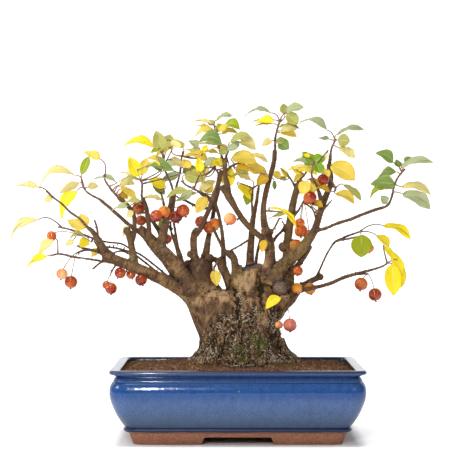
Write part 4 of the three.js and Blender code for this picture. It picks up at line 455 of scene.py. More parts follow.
class Wire:
    """An output socket, so that sums on it are written as Python expressions."""

    def __init__(self, maker, socket):
        self.maker = maker
        self.socket = socket

    def __getitem__(self, name):
        return Wire(self.maker, self.socket.node.outputs[name])

    def sum(self, operation, *others, swapped=False):
        """Any sum of the maths nodes, on vectors where one of the values is a vector."""
        values = (*others, self) if swapped else (self, *others)
        vector = any(
            isinstance(value, (tuple, list)) or
            isinstance(value, Wire) and value.socket.type in ("VECTOR", "RGBA")
            for value in values
        )
        kind = "ShaderNodeVectorMath" if vector else "ShaderNodeMath"
        if vector:
            values = [(value,) * 3 if isinstance(value, (int, float)) else value for value in values]
        return self.maker.node(kind, {"operation": operation}, dict(enumerate(values)))

    def __rsub__(self, other):
        return self.sum("SUBTRACT", other, swapped=True)

    def span(self, low, high, start=0.0, end=1.0):
        """This value carried smoothly from low..high to start..end, and held there."""
        values = {"Value": self, "From Min": low, "From Max": high, "To Min": start, "To Max": end}
        return self.maker.node("ShaderNodeMapRange", {"interpolation_type": "SMOOTHSTEP"}, values)


# How each sum is written on a wire, and what the maths nodes call it.
SUMS = {
    "__add__": "ADD", "__radd__": "ADD", "__mul__": "MULTIPLY", "__rmul__": "MULTIPLY",
    "__sub__": "SUBTRACT", "__pow__": "POWER", "__abs__": "ABSOLUTE", "sine": "SINE",
    "fraction": "FRACT", "above": "GREATER_THAN", "most": "MAXIMUM",
}
for written, operation in SUMS.items():
    setattr(Wire, written, lambda self, *others, name=operation: self.sum(name, *others))


class Maker:
    """Adds nodes to one node tree."""

    def __init__(self, tree):
        self.tree = tree

    def node(self, kind, settings=None, values=None):
        """A node of a type, with its settings made first and then its sockets set or linked.
        Gives the first output; the others are named in square brackets."""
        node = self.tree.nodes.new(kind)
        for name, value in (settings or {}).items():
            if name == "stops":
                self.set_stops(node.color_ramp, value)
            else:
                setattr(node, name, value)
        for name, value in (values or {}).items():
            if isinstance(name, int):
                socket = node.inputs[name]
            else:
                socket = next(s for s in node.inputs if s.name == name and s.enabled)
            if isinstance(value, Wire):
                self.tree.links.new(value.socket, socket)
            elif value is not None:
                socket.default_value = value
        outputs = [socket for socket in node.outputs if socket.enabled]
        return Wire(self, outputs[0]) if outputs else None

    @staticmethod
    def set_stops(ramp, stops):
        while len(ramp.elements) > 1:
            ramp.elements.remove(ramp.elements[-1])
        for number, (place, colour) in enumerate(stops):
            stop = ramp.elements[0] if number == 0 else ramp.elements.new(place)
            stop.position = place
            stop.color = colour if len(colour) == 4 else (*colour, 1)

    def noise(self, place, scale, detail=3.0, roughness=0.55, distortion=0.0):
        values = {"Scale": scale, "Detail": detail, "Roughness": roughness, "Distortion": distortion}
        return self.node("ShaderNodeTexNoise", None, {"Vector": place, **values})

    def cells(self, place, scale, feature="F1"):
        values = {"Vector": place, "Scale": scale}
        return self.node("ShaderNodeTexVoronoi", {"feature": feature}, values)

    def blend(self, share, low, high):
        """A colour between two colours."""
        low, high = (c if isinstance(c, Wire) or len(c) == 4 else (*c, 1) for c in (low, high))
        values = {"Factor": share, "A": low, "B": high}
        return self.node("ShaderNodeMix", {"data_type": "RGBA"}, values)

    def layered(self, colour, *layers):
        """A colour with others laid over it in turn, each with its share."""
        for share, over in layers:
            colour = self.blend(share, colour, over)
        return colour

    def ramp(self, share, *stops):
        return self.node("ShaderNodeValToRGB", {"stops": stops}, {"Fac": share})

    def parts(self, vector):
        node = self.node("ShaderNodeSeparateXYZ", None, {0: vector})
        return node["X"], node["Y"], node["Z"]

    def vector(self, x, y, z):
        return self.node("ShaderNodeCombineXYZ", None, {0: x, 1: y, 2: z})


class Finish(Maker):
    """A surface finish: a material with its Principled shader."""

    def __init__(self, name, **constants):
        self.material = bpy.data.materials.new(name)
        self.material.use_nodes = True
        super().__init__(self.material.node_tree)
        self.shader = self.tree.nodes["Principled BSDF"]
        self.end = self.tree.nodes["Material Output"]
        for socket, value in constants.items():
            self.shader.inputs[socket.replace("_", " ")].default_value = value

    def place(self):
        return self.node("ShaderNodeTexCoord")["Object"]

    def attribute(self, name):
        return self.node("ShaderNodeAttribute", {"attribute_name": name})

    def varies(self, socket, wire):
        self.tree.links.new(wire.socket, self.shader.inputs[socket])

    def bumps(self, height, distance, strength=1.0):
        values = {"Height": height, "Distance": distance, "Strength": strength}
        self.varies("Normal", self.node("ShaderNodeBump", None, values))


class Growth(Maker):
    """A Geometry Nodes tree with named inputs: numbers, counts, or None for a material."""

    def __init__(self, name, inputs):
        tree = bpy.data.node_groups.new(name, "GeometryNodeTree")
        super().__init__(tree)
        tree.interface.new_socket("Geometry", in_out="INPUT", socket_type="NodeSocketGeometry")
        for label, default in inputs.items():
            kind = {float: "Float", int: "Int"}.get(type(default), "Material")
            socket = tree.interface.new_socket(label, in_out="INPUT", socket_type="NodeSocket" + kind)
            socket.default_value = default
        tree.interface.new_socket("Geometry", in_out="OUTPUT", socket_type="NodeSocketGeometry")
        self.entry = self.node("NodeGroupInput")
        self.exit = tree.nodes.new("NodeGroupOutput")

    def __getitem__(self, name):
        return self.entry[name]

    def realized(self, geometry):
        return self.node("GeometryNodeRealizeInstances", None, {"Geometry": geometry})

    def finish(self, geometry):
        self.tree.links.new(self.realized(geometry).socket, self.exit.inputs[0])

    def coated(self, geometry, material):
        values = {"Geometry": geometry, "Material": material}
        return self.node("GeometryNodeSetMaterial", None, values)

    def named(self, name, kind="FLOAT"):
        return self.node("GeometryNodeInputNamedAttribute", {"data_type": kind}, {"Name": name})

    def vectors(self, *names):
        return [self.named(name, "FLOAT_VECTOR") for name in names]

    def store(self, geometry, name, value, kind="FLOAT"):
        settings = {"data_type": kind, "domain": "POINT"}
        values = {"Geometry": geometry, "Name": name, "Value": value}
        return self.node("GeometryNodeStoreNamedAttribute", settings, values)

    def place(self):
        return self.node("GeometryNodeInputPosition")

    def facing(self):
        return self.node("GeometryNodeInputNormal")

    def moved(self, geometry, offset=None, position=None):
        values = {"Geometry": geometry, "Position": position, "Offset": offset}
        return self.node("GeometryNodeSetPosition", None, values)

    def joined(self, *parts):
        node = self.tree.nodes.new("GeometryNodeJoinGeometry")
        for part in reversed(parts):
            self.tree.links.new(part.socket, node.inputs[0])
        return Wire(self, node.outputs[0])

    def smooth(self, geometry):
        return self.node("GeometryNodeSetShadeSmooth", None, {"Geometry": geometry})

    def welded(self, geometry, distance):
        values = {"Geometry": geometry, "Distance": distance}
        return self.node("GeometryNodeMergeByDistance", None, values)

    def tube(self, paths, sides):
        """Tubes along paths, as thick as their "thickness" attribute says."""
        curves = self.node("GeometryNodeMeshToCurve", None, {"Mesh": paths})
        ring = self.node("GeometryNodeCurvePrimitiveCircle", None, {"Resolution": sides, "Radius": 1.0})
        values = {"Curve": curves, "Profile Curve": ring, "Scale": self.named("thickness")}
        return self.smooth(self.node("GeometryNodeCurveToMesh", None, {**values, "Fill Caps": True}))

    def at_points(self, points, instance, rotation=None, scale=None):
        values = {"Points": points, "Instance": instance, "Rotation": rotation, "Scale": scale}
        return self.node("GeometryNodeInstanceOnPoints", None, values)

    def random(self, low, high, seed, kind="FLOAT"):
        values = {"Min": low, "Max": high, "Seed": seed}
        return self.node("FunctionNodeRandomValue", {"data_type": kind}, values)

    def seats(self, mesh, name):
        """The points of a mesh at which a value is above 0."""
        values = {"Mesh": mesh, "Selection": self.named(name).above(0.0)}
        return self.node("GeometryNodeMeshToPoints", None, values)

    def scattered(self, ground, selection, density, seed):
        """Seats strewn over chosen faces, so many to the square metre."""
        values = {"Mesh": ground, "Selection": selection, "Density": density, "Seed": seed}
        return self.node("GeometryNodeDistributePointsOnFaces", None, values)

    def swung(self, seats, low, high, seed):
        """The way the seats face, with a random turn about each axis."""
        turn = self.random(low, high, seed, "FLOAT_VECTOR")
        values = {"Rotation": seats["Rotation"], "Rotate By": turn}
        return self.node("FunctionNodeRotateRotation", {"rotation_space": "LOCAL"}, values)


# ---- meshes and pieces ----------------------------------------------------------------------


def new_object(name, mesh):
    piece = bpy.data.objects.new(name, mesh)
    bpy.context.scene.collection.objects.link(piece)
    return piece


def mesh_of(name, points, faces=(), edges=()):
    """A mesh from points in mm."""
    mesh = bpy.data.meshes.new(name)
    mesh.from_pydata((np.asarray(points) * MM).tolist(), edges, faces)
    mesh.update()
    return mesh


def with_values(mesh, **columns):
    """Stores point attributes: numbers, vectors or colours by the shape of each column."""
    kinds = {1: ("FLOAT", "value"), 3: ("FLOAT_VECTOR", "vector"), 4: ("FLOAT_COLOR", "color")}
    for name, column in columns.items():
        column = np.asarray(column, np.float32)
        width = 1 if column.ndim == 1 else column.shape[1]
        kind, field = kinds[width]
        layer = mesh.attributes.get(name) or mesh.attributes.new(name, kind, "POINT")
        layer.data.foreach_set(field, column.ravel())
    return mesh


def points_of(mesh):
    """A mesh's points in mm."""
    flat = np.zeros(len(mesh.vertices) * 3, np.float32)
    mesh.vertices.foreach_get("co", flat)
    return flat.reshape(-1, 3) / MM


def evaluated(source, name):
    """The plain mesh that an object's modifiers give. The object itself is removed."""
    graph = bpy.context.evaluated_depsgraph_get()
    mesh = bpy.data.meshes.new_from_object(
        source.evaluated_get(graph), preserve_all_data_layers=True, depsgraph=graph
    )
    mesh.name = name
    source.modifiers.clear()
    bpy.data.objects.remove(source)
    return mesh


def grown(name, mesh, growth, inputs):
    """Runs a mesh through a Geometry Nodes tree."""
    source = new_object(name, mesh)
    modifier = source.modifiers.new(growth.tree.name, "NODES")
    modifier.node_group = growth.tree
    sockets = {
        item.name: item.identifier
        for item in growth.tree.interface.items_tree
        if item.item_type == "SOCKET" and item.in_out == "INPUT"
    }
    for label, value in inputs.items():
        modifier[sockets[label]] = value
    return evaluated(source, name)


def fused(name, *meshes):
    """One mesh from several, with their attributes and materials."""
    parts = [new_object(name, mesh) for mesh in meshes]
    with bpy.context.temp_override(
        active_object=parts[0], object=parts[0], selected_editable_objects=parts,
        selected_objects=parts,
    ):
        bpy.ops.object.join()
    mesh = parts[0].data
    bpy.data.objects.remove(parts[0])
    return mesh


def coated(mesh, material):
    """A mesh in one material."""
    mesh.materials.clear()
    mesh.materials.append(material)
    return mesh


def show(name, mesh, slot, *replaced):
    """Puts a finished piece on the plant."""
    if not mesh.polygons:
        raise RuntimeError(f"{name} has no faces")
    piece = new_object(name, mesh)
    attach(piece, "root")
    if replaced:
        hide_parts(*replaced)
    return piece


class Threads:
    """Paths and single seats that a Geometry Nodes tree grows something on."""

    def __init__(self):
        self.points, self.edges, self.columns = [], [], {}

    def add(self, points, **values):
        """Adds a path, or one seat, with a value for each point or one for all."""
        start, count = len(self.points), len(points)
        self.points += list(points)
        self.edges += [(start + i, start + i + 1) for i in range(count - 1)]
        for name, value in values.items():
            column = self.columns.setdefault(name, {})
            value = np.asarray(value, float)
            many = value.ndim and len(value) == count and count > 1
            for i in range(count):
                column[start + i] = value[i] if many else value

    def mesh(self, name):
        mesh = mesh_of(name, self.points, edges=self.edges)
        whole = {}
        for key, column in self.columns.items():
            blank = np.zeros_like(next(iter(column.values())))
            whole[key] = [column.get(i, blank) for i in range(len(self.points))]
        return with_values(mesh, **whole)

# ---- pot ------------------------------------------------------------------------------------

# Rings of the pot's wall: inset from its outer size, height, corner radius.
POT_RINGS = (
    (52, 14, 8), (50, 8, 8), (49, 0.8, 10), (48, 0, 10), (37.8, 0, 16), (36.8, 0.6, 16),
    (31.4, 15.8, 17), (30.4, 18.6, 17), (27, 20, 17), (23.4, 21.8, 19), (22, 24, 20),
    (22.3, 26, 20), (24, 28.2, 20), (22, 31, 21), (17.6, 37.6, 22), (13, 45, 24), (8.7, 53.4, 26),
    (5, 62, 28), (1.7, 71.5, 29), (0.1, 80, 30), (0, 85, 30), (0.4, 90, 30), (1.5, 94.4, 29),
    (3.2, 98.2, 28), (5, 100.8, 27), (6, 101.4, 26), (5.9, 102.6, 26), (6.9, 105, 26),
    (8.2, 107.1, 25), (9.8, 108.4, 25), (10.1, 109.1, 25), (8.6, 109.8, 24), (5.6, 111.2, 24),
    (3, 112.3, 23), (1.1, 113.4, 22), (0.25, 114.8, 22), (0, 116, 22), (0.35, 117.4, 22),
    (1.2, 118.8, 21), (2.8, 119.7, 20), (6, 120, 18), (11, 119.7, 16), (14.8, 119.2, 14),
    (16.2, 117.8, 14), (17, 109, 14), (13, 88, 18), (18, 61, 16), (34, 28, 10), (40, 24, 6),
)
ARCHES = ((117, 310, 0), (90, 430, 90))  # width at the ground, length, turn
ARCH_HEIGHT = 12.3
ARCH_SLOPE = 5  # how far each end slants in
DRAINS = (-80, 80)  # their places along the pot
DRAIN_RADIUS = 12
DRAIN_SIDES = 32
DRAIN_MESH_HEIGHT = 24.9
CORNER_STEPS = 14
SIDE_STEPS = 6
PIT = (239, 391.5)  # the square at which the glaze is chipped
SHARP = 42  # degrees: sharper edges of the pot are shaded as edges


def oblong(length, width, radius):
    """The outline of a rounded oblong, anticlockwise."""
    outline = []
    for quarter in range(4):
        sign_x = 1 if quarter in (0, 3) else -1
        sign_y = 1 if quarter in (0, 1) else -1
        centre = (sign_x * (length / 2 - radius), sign_y * (width / 2 - radius))
        for step in range(CORNER_STEPS + 1):
            angle = math.pi / 2 * (quarter + step / CORNER_STEPS)
            x, y = math.cos(angle), math.sin(angle)
            outline.append((centre[0] + radius * x, centre[1] + radius * y))
    whole = []
    for number, (a, b) in enumerate(zip(outline, outline[1:] + outline[:1])):
        steps = SIDE_STEPS if number % (CORNER_STEPS + 1) == CORNER_STEPS else 1
        whole += [tuple(p + (q - p) * i / steps for p, q in zip(a, b)) for i in range(steps)]
    return whole


def strips(rings, around):
    """Faces of rings of points joined one to the next, closed at both ends."""
    faces = []
    for ring in range(rings - 1):
        for i in range(around):
            a, b = ring * around + i, ring * around + (i + 1) % around
            faces.append((a, b, b + around, a + around))
    last = (rings - 1) * around
    return [*faces, tuple(reversed(range(around))), tuple(range(last, last + around))]


def lofted(name, rings):
    """A closed mesh of rounded oblongs, each inset from the pot's size."""
    points = []
    for inset, height, radius in rings:
        outline = oblong(POT_LENGTH - 2 * inset, POT_WIDTH - 2 * inset, radius)
        points += [(MIDDLE[0] + x, MIDDLE[1] + y, height) for x, y in outline]
    return mesh_of(name, points, strips(len(rings), len(points) // len(rings)))


def eased(rings, steps):
    """Rings with rounded steps between them."""
    path = Path(rings)
    count = (len(rings) - 1) * steps
    return [tuple(path.point(i / count).clip(0)) for i in range(count + 1)]


def bar(outlines):
    """A closed bar from two outlines of points."""
    count = len(outlines[0])
    return mesh_of("bar", [point for outline in outlines for point in outline], strips(2, count))


def smoothed(mesh, angle):
    """Faces outwards, and shaded smooth apart from edges sharper than an angle."""
    shape = bmesh.new()
    shape.from_mesh(mesh)
    bmesh.ops.remove_doubles(shape, verts=shape.verts, dist=1e-6)
    bmesh.ops.recalc_face_normals(shape, faces=shape.faces)
    for face in shape.faces:
        face.smooth = True
    limit = math.radians(angle)
    for edge in shape.edges:
        edge.smooth = not (len(edge.link_faces) == 2 and edge.calc_face_angle() > limit)
    shape.to_mesh(mesh)
    shape.free()
    return mesh


def cut_away(mesh, cutters):
    """Takes closed shapes out of a mesh."""
    source = new_object(mesh.name, mesh)
    tools = [new_object("cutter", smoothed(cutter, 30)) for cutter in cutters]
    for tool in tools:
        modifier = source.modifiers.new("cut", "BOOLEAN")
        modifier.operation = "DIFFERENCE"
        modifier.solver = "EXACT"
        modifier.object = tool
    whole = evaluated(source, mesh.name)
    for tool in tools:
        bpy.data.objects.remove(tool)
    return whole


def arch_cutter(width, length, turn):
    """The opening between two feet: slanted ends and rounded upper corners."""
    half, top = width / 2, ARCH_HEIGHT
    corner = half - ARCH_SLOPE
    side = [(half, -1), (corner + 0.9, top - 4), (corner + 0.2, top - 1.6), (corner - 1.4, top - 0.3),
            (corner - 4, top)]
    outline = side + [(-x, z) for x, z in reversed(side)]
    c, s = math.cos(math.radians(turn)), math.sin(math.radians(turn))
    return bar([
        [(MIDDLE[0] + x * c - y * s, MIDDLE[1] + x * s + y * c, z) for x, z in outline]
        for y in (-length / 2, length / 2)
    ])


def drain_cutter(x):
    turns = [i * math.pi / (DRAIN_SIDES / 2) for i in range(DRAIN_SIDES)]
    ring = [
        (MIDDLE[0] + x + DRAIN_RADIUS * math.cos(turn), MIDDLE[1] + DRAIN_RADIUS * math.sin(turn))
        for turn in turns
    ]
    return bar([[(*place, z) for place in ring] for z in (0, 40)])


def shades(colour, *shares):
    """Shades of a colour, each so many times as light."""
    return [tuple(min(c * share, 1) for c in colour) for share in shares]


def glaze_finish(settings):
    glaze = Finish("cobalt glaze over brown clay", Specular_IOR_Level=0.36)
    place = glaze.place()
    x, y, height = glaze.parts(place)
    cloud = glaze.noise(place, 24, 4)
    fine = glaze.noise(place, 620, 2)
    runs = glaze.noise(glaze.vector(x, y, height * 0.6), 110, 3)
    # Heights are in metres: the glaze is thin low on the wall and thick above its middle.
    level = height + (cloud - 0.5) * 0.006
    thin = glaze.blend(level.span(0.03, 0.066), settings.dull_glaze, settings.broken_glaze)
    thick = level.span(0.068, 0.083) * 0.92 - height.span(0.084, 0.097) * 0.32
    body = glaze.blend(thick, thin, settings.glaze)
    tone = (runs * 0.3 + fine * 0.7).span(0.38, 0.62)
    body = glaze.blend(tone, body * (0.76, 0.76, 0.78), body * (1.24, 1.24, 1.22))
    # It pools dark inside the rim and along the ridge, and the rim is a little darker; painted shade
    # darkens the neck under the rim, the groove below the shoulder step and the rim's top edge.
    # The neck under the rim is darkened as a painted shadow.
    neck = height.span(0.107, 0.1088) * height.span(0.1096, 0.1116, 1, 0)
    foot = height.span(0.0275, 0.0295, 1, 0)
    # A thin wavy line of painted shade in the groove below the shoulder step.
    step = (height + (runs - 0.5) * 0.002).span(0.1, 0.101) * height.span(0.1012, 0.102, 1, 0)
    outer, lip = (
        (abs(y - MIDDLE[1] * MM).above((POT_WIDTH / 2 - depth) * MM)).most(
            abs(x - MIDDLE[0] * MM).above((POT_LENGTH / 2 - depth) * MM))
        for depth in (15.5, 3.2)
    )
    rim = height.above(0.1105)
    inside = (1 - outer) * height.above(0.1)
    # Real pooling inside the rim and along the ridge, a darker rim, and painted shade under the rim and
    # below the shoulder step.
    pooled_and_shaded = (neck * 0.6).most(rim * 0.22).most(foot).most(step * 0.7).most(inside)
    # The rim's top edge, painted dark as shade where it shows no reflection.
    crest = (height + (runs - 0.5) * 0.0012).span(0.1174, 0.118)
    # Painted shade along the rim's top outer edge and under the rim, and a darker rim, in dark
    # grey-brown.
    worn_and_shaded = (crest * lip * 0.92).most(neck * 0.45).most(rim * 0.22)
    speck = glaze.cells(place, 330).span(0.06, 0.2, 1, 0) * cloud.span(0.35, 0.6)
    pale_speck = glaze.cells(place + (0.3, 0.1, 0.2), 300).span(0.04, 0.16, 1, 0)
    pit = (place - tuple(at(*PIT, POT_LOW[1] + 1) * MM)).sum("LENGTH")["Value"]
    chipped = pit.span(0.0012, 0.002, 1, 0)
    pool_and_shade = settings.pooled_glaze_and_shade
    body = glaze.layered(
        body,
        (pooled_and_shaded, pool_and_shade),
        (crest * 0.45, pool_and_shade),
        (worn_and_shaded, (0.045, 0.036, 0.034)),
        (speck * 0.4, pool_and_shade),
        (pale_speck * 0.15, (0.2, 0.28, 0.42)),
        (chipped, (0.16, 0.12, 0.1)),
    )

    unglazed = (height + (fine - 0.5) * 0.001 + (cloud - 0.5) * 0.003).span(0.0204, 0.0216, 1, 0)
    grain = glaze.noise(place, 260, 5, 0.7)
    clay = glaze.blend(grain.span(0.3, 0.7), *shades(settings.clay, 1.15, 0.6))
    glaze.varies("Base Color", glaze.blend(unglazed, body, clay))
    dull = height.span(0.04, 0.075, 0.22, 0.0) + crest * 0.06
    rough = fine.span(0.3, 0.7, 0.07, 0.13) + chipped * 0.5 + dull
    glaze.varies("Roughness", rough + unglazed * (0.82 - rough))
    glaze.bumps(grain * unglazed * 1.2 + cloud * 0.7 + runs * 0.2 - chipped, 0.0005)
    return glaze.material


class BONSAI_OT_pot(bpy.types.Operator):
    """Makes the oblong pot: ridged foot, full belly, drawn-in neck, lipped rim"""

    bl_idname = "bonsai.pot"
    bl_label = "Pot"

    def execute(self, context):
        cutters = [arch_cutter(*arch) for arch in ARCHES] + [drain_cutter(x) for x in DRAINS]
        mesh = smoothed(cut_away(lofted("pot", eased(POT_RINGS, 2)), cutters), SHARP)
        show("oblong_pot", coated(mesh, glaze_finish(context.scene.bonsai_pot)), "glaze", "pot")
        return {"FINISHED"}


# ---- soil and drainage mesh -----------------------------------------------------------------

# Rings of the soil's sides and of its mounded top, like those of the pot's wall.
SOIL_WALL = ((40.6, 24.4, 6), (34.6, 28, 10), (18.7, 61, 16), (13.8, 88, 18), (17.7, 109.4, 14))
SOIL_TOP = ((17.7, 111.6, 14), (24, 113.4, 15), (40, 115.5, 20), (60, 118.4, 24), (85, 121.5, 30),
            (110, 124.4, 26), (130, 126, 14), (142, 127, 3))
OPEN_GROUND = 0.1112  # m: what lies higher is seen
FULL_TURN = 6.28
MOSS_TINTS = ((0.03, 0.045, 0.006), (0.15, 0.16, 0.025))
MOSS_SPOTS = (  # column, row, depth, reach in mm
    (202, 365, -70, 7), (247, 368, -72, 9), (291, 366, -62, 8), (322, 361, 110, 10),
    (334, 361, 108, 11), (343, 362, 100, 9), (135, 362, 96, 8),
)


def soil_height(x, y):
    """How high the soil lies at a place."""
    inset = min(POT_LENGTH / 2 - abs(x - MIDDLE[0]), POT_WIDTH / 2 - abs(y - MIDDLE[1]))
    return float(np.interp(inset, [ring[0] for ring in SOIL_TOP], [ring[1] for ring in SOIL_TOP]))


def soil_bed():
    """The soil's body: walls that follow the pot's inside and a low mound on top."""
    fine = []
    for a, b in zip(SOIL_TOP, SOIL_TOP[1:]):
        steps = max(1, round((b[0] - a[0]) / 4))
        fine += [tuple(np.array(a) + (np.array(b) - a) * i / steps) for i in range(steps)]
    return lofted("soil bed", [*SOIL_WALL, *fine, SOIL_TOP[-1]])


def tufts_on(growth, ground, selection, density, leans, material):
    """Short blades of moss that stand on a surface."""
    seats = growth.scattered(ground, selection, density, 31)
    blade = growth.node("GeometryNodeMeshCone", None, {
        "Vertices": 4, "Radius Top": 0.0, "Radius Bottom": 0.00045, "Depth": 0.0021,
    })
    swung = growth.swung(seats, (-leans, -leans, 0.0), (leans, leans, FULL_TURN), 12)
    return growth.coated(growth.at_points(seats, blade, swung, growth.random(0.6, 1.3, 13)), material)


def soil_growth(material, moss_material):
    """Lumpy ground with crumbs, bits of straw and tufts of moss where it lies open."""
    growth = Growth("soil and crumb", {
        "Crumbs per m2": 90000.0, "Crumb size": 0.0015, "Moss per m2": 900000.0, "Seed": SEED,
    })
    bed = growth["Geometry"]
    place = growth.place()
    _, _, height = growth.parts(place)
    _, _, up = growth.parts(growth.facing())
    open_ground = up.above(0.5) * height.above(OPEN_GROUND)
    lump = growth.noise(place, 30, 4) - 0.5
    coarse = growth.noise(place, 170, 3) - 0.5
    rise = growth.vector(0.0, 0.0, open_ground * (lump * 0.005 + coarse * 0.0035))
    ground = growth.moved(bed, offset=rise)
    many, grain = growth["Crumbs per m2"], growth["Crumb size"]
    seats = growth.scattered(ground, open_ground, many, growth["Seed"])
    crumb = growth.node("GeometryNodeMeshIcoSphere", None, {"Radius": 1.0, "Subdivisions": 1})
    crumb = growth.moved(crumb, offset=growth.facing() * (growth.noise(place, 1.3, 2) - 0.5) * 0.7)
    size = growth.random(0.3, 1.0, 3)
    wide, deep = size * growth.random(0.7, 1.4, 4), size * growth.random(0.7, 1.2, 5)
    any_turn = growth.random((0.0,) * 3, (FULL_TURN,) * 3, 6, "FLOAT_VECTOR")
    crumbs = growth.at_points(seats, crumb, any_turn, growth.vector(wide, deep, size * 0.8) * grain)
    straw = growth.node("GeometryNodeMeshCone", None, {
        "Vertices": 4, "Side Segments": 2, "Radius Top": 0.15, "Radius Bottom": 0.26, "Depth": 5.0,
    })
    few = growth.scattered(ground, open_ground, many * 0.08, 21)
    lying = growth.random((1.35, -0.3, 0.0), (1.75, 0.3, FULL_TURN), 8, "FLOAT_VECTOR")
    long = growth.vector(grain, grain, grain * growth.random(0.4, 1.1, 9))
    fibres = growth.at_points(few, straw, lying, long)
    earth = growth.coated(growth.joined(ground, crumbs, fibres), material)

    mossy = None
    for column, row, depth, reach in MOSS_SPOTS:
        spot = at(column, row, depth) * MM
        spot[2] = soil_height(*(spot[:2] / MM)) * MM
        off = (place - tuple(spot)).sum("LENGTH")["Value"]
        ragged = off + (growth.noise(place, 160, 2) - 0.5) * 0.012
        near = ragged.span(reach * 0.7 * MM, reach * MM, 1, 0)
        mossy = near if mossy is None else mossy.most(near)
    covered = open_ground * mossy.above(0.5)
    moss = tufts_on(growth, ground, covered, growth["Moss per m2"], 0.7, moss_material)
    growth.finish(growth.joined(earth, moss))
    return growth


def soil_finish(settings):
    soil = Finish("crumbly akadama and bark soil", Roughness=0.95, Specular_IOR_Level=0.2)
    place = soil.place()
    grain = soil.noise(place, 520, 4, 0.65)
    patch = soil.noise(place, 45, 4)
    crumbs = soil.cells(place, 420)
    dark, middle, light = shades(settings.soil, 0.3, 1.0, 1.9)
    base = soil.ramp(grain * 0.75 + patch * 0.25, (0.36, dark), (0.5, middle), (0.64, light))
    stray, second, _ = soil.parts(crumbs["Color"])
    pale_crumb, dark_crumb = stray.span(0.9, 0.92), second.span(0.8, 0.86)
    base = soil.layered(base, (pale_crumb, (0.36, 0.24, 0.13)), (dark_crumb, dark))
    soil.varies("Base Color", base)
    soil.bumps(grain + crumbs * 0.8, 0.0014)
    return soil.material


def moss_finish():
    moss = Finish("moss", Roughness=0.9, Specular_IOR_Level=0.2)
    tone = moss.noise(moss.place(), 240, 3)
    moss.varies("Base Color", moss.blend(tone.span(0.3, 0.7), *MOSS_TINTS))
    return moss.material


class BONSAI_OT_soil(bpy.types.Operator):
    """Fills the pot with soil: a low mound with crumb, fibres and moss on it"""

    bl_idname = "bonsai.soil"
    bl_label = "Soil and Moss"

    def execute(self, context):
        settings = context.scene.bonsai_soil
        growth = soil_growth(soil_finish(settings), moss_finish())
        mesh = grown("soil", soil_bed(), growth, {
            "Crumbs per m2": settings.crumbs, "Crumb size": settings.crumb_size, "Seed": SEED,
        })
        show("soil_and_moss", mesh, "soil", "soil")
        return {"FINISHED"}


def drain_growth(material):
    """A plastic mesh of crossed bars over a drain hole."""
    growth = Growth("drainage mesh", {
        "Bars": 3, "Size": 0.044, "Bar width": 0.005, "Thickness": 0.0012,
    })
    bars = []
    for turn in (0.0, math.pi / 2):
        size = growth.vector(growth["Size"], growth["Bar width"], growth["Thickness"])
        cube = growth.node("GeometryNodeMeshCube", None, {"Size": size})
        step = (growth["Size"] - growth["Bar width"]) * 0.5
        row = growth.node("GeometryNodeMeshLine", {"mode": "OFFSET"}, {
            "Count": growth["Bars"], "Start Location": growth.vector(0.0, step * -1, 0.0),
            "Offset": growth.vector(0.0, step, 0.0),
        })
        rank = growth.realized(growth.at_points(row, cube))
        values = {"Geometry": rank, "Rotation": (0.0, 0.0, turn)}
        bars.append(growth.node("GeometryNodeTransform", None, values))
    grid = growth.at_points(growth["Geometry"], growth.joined(*bars))
    growth.finish(growth.coated(grid, material))
    return growth


class BONSAI_OT_drains(bpy.types.Operator):
    """Lays a plastic mesh over each drain hole, under the soil"""

    bl_idname = "bonsai.drains"
    bl_label = "Drainage Meshes"

    def execute(self, context):
        plastic = Finish("black mesh plastic", Roughness=0.6, Base_Color=(0.012, 0.013, 0.013, 1))
        growth = drain_growth(plastic.material)
        for x, side in zip(DRAINS, ("left", "right")):
            seat = mesh_of(side, [(MIDDLE[0] + x, MIDDLE[1], DRAIN_MESH_HEIGHT)])
            mesh = grown(side, seat, growth, {})
            show(f"drainage_{side}", mesh, "drain_mesh", f"drain_mesh_{side}")
        return {"FINISHED"}

# ---- trunk and branches ---------------------------------------------------------------------

FLUTES = 5
FLUTE_DEPTH = 0.06
TRUNK_SIDES = 72
STOUT = 3.2  # squares: limbs that start wider are fused into one skin, the rest are twigs
SPUR_RADIUS = 1.6
BURR = (281, 288, 7.5)  # column, row, reach in squares
DARK_LIMBS = ("head", "head_left", "head_left_up", "head_right", "stub", "stub_up")
OLIVE_LIMBS = ("knee", "right_limb", "low_fork", "right_mass", "crossing")
KNUCKLES = (  # column, row, reach in squares
    (190, 254, 6), (209, 257, 7), (215, 258, 5), (200, 262, 9), (196, 232, 6), (231, 253, 5),
    (283, 247, 7), (108, 256, 7), (221, 262, 7), (262, 232, 5), (270, 232, 6), (290, 270, 9),
)
RUGGED_EDGE = (  # columns, and the row under which the bark is rugged at each
    (190, 200, 205, 212, 228, 236, 243, 262, 275, 290),
    (352, 340, 326, 312, 305, 298, 292, 300, 306, 300),
)
RIDGES = (  # on the trunk's front: width in squares, then column and row
    (9, (213, 297), (226, 301), (238, 308)),
    (12, (243, 298), (244, 312), (246, 325), (250, 340)),
    (11, (262, 298), (265, 314), (262, 332)),
    (10, (270, 312), (275, 332), (286, 354)),
    (8, (207, 310), (208, 330), (208, 352)),
    (9, (226, 314), (222, 336), (215, 360)),
    (8, (238, 330), (236, 345), (233, 362)),
    (8, (262, 334), (264, 348), (268, 362)),
)
# Grooves sunk into the trunk's front, also painted dark as shade.
SHADED_GROOVES = (  # width in squares, then column and row
    (3.6, (261.5, 284), (260.5, 292), (262, 303), (263, 309)),
    (3.0, (235, 290), (237, 299), (239, 306)),
)
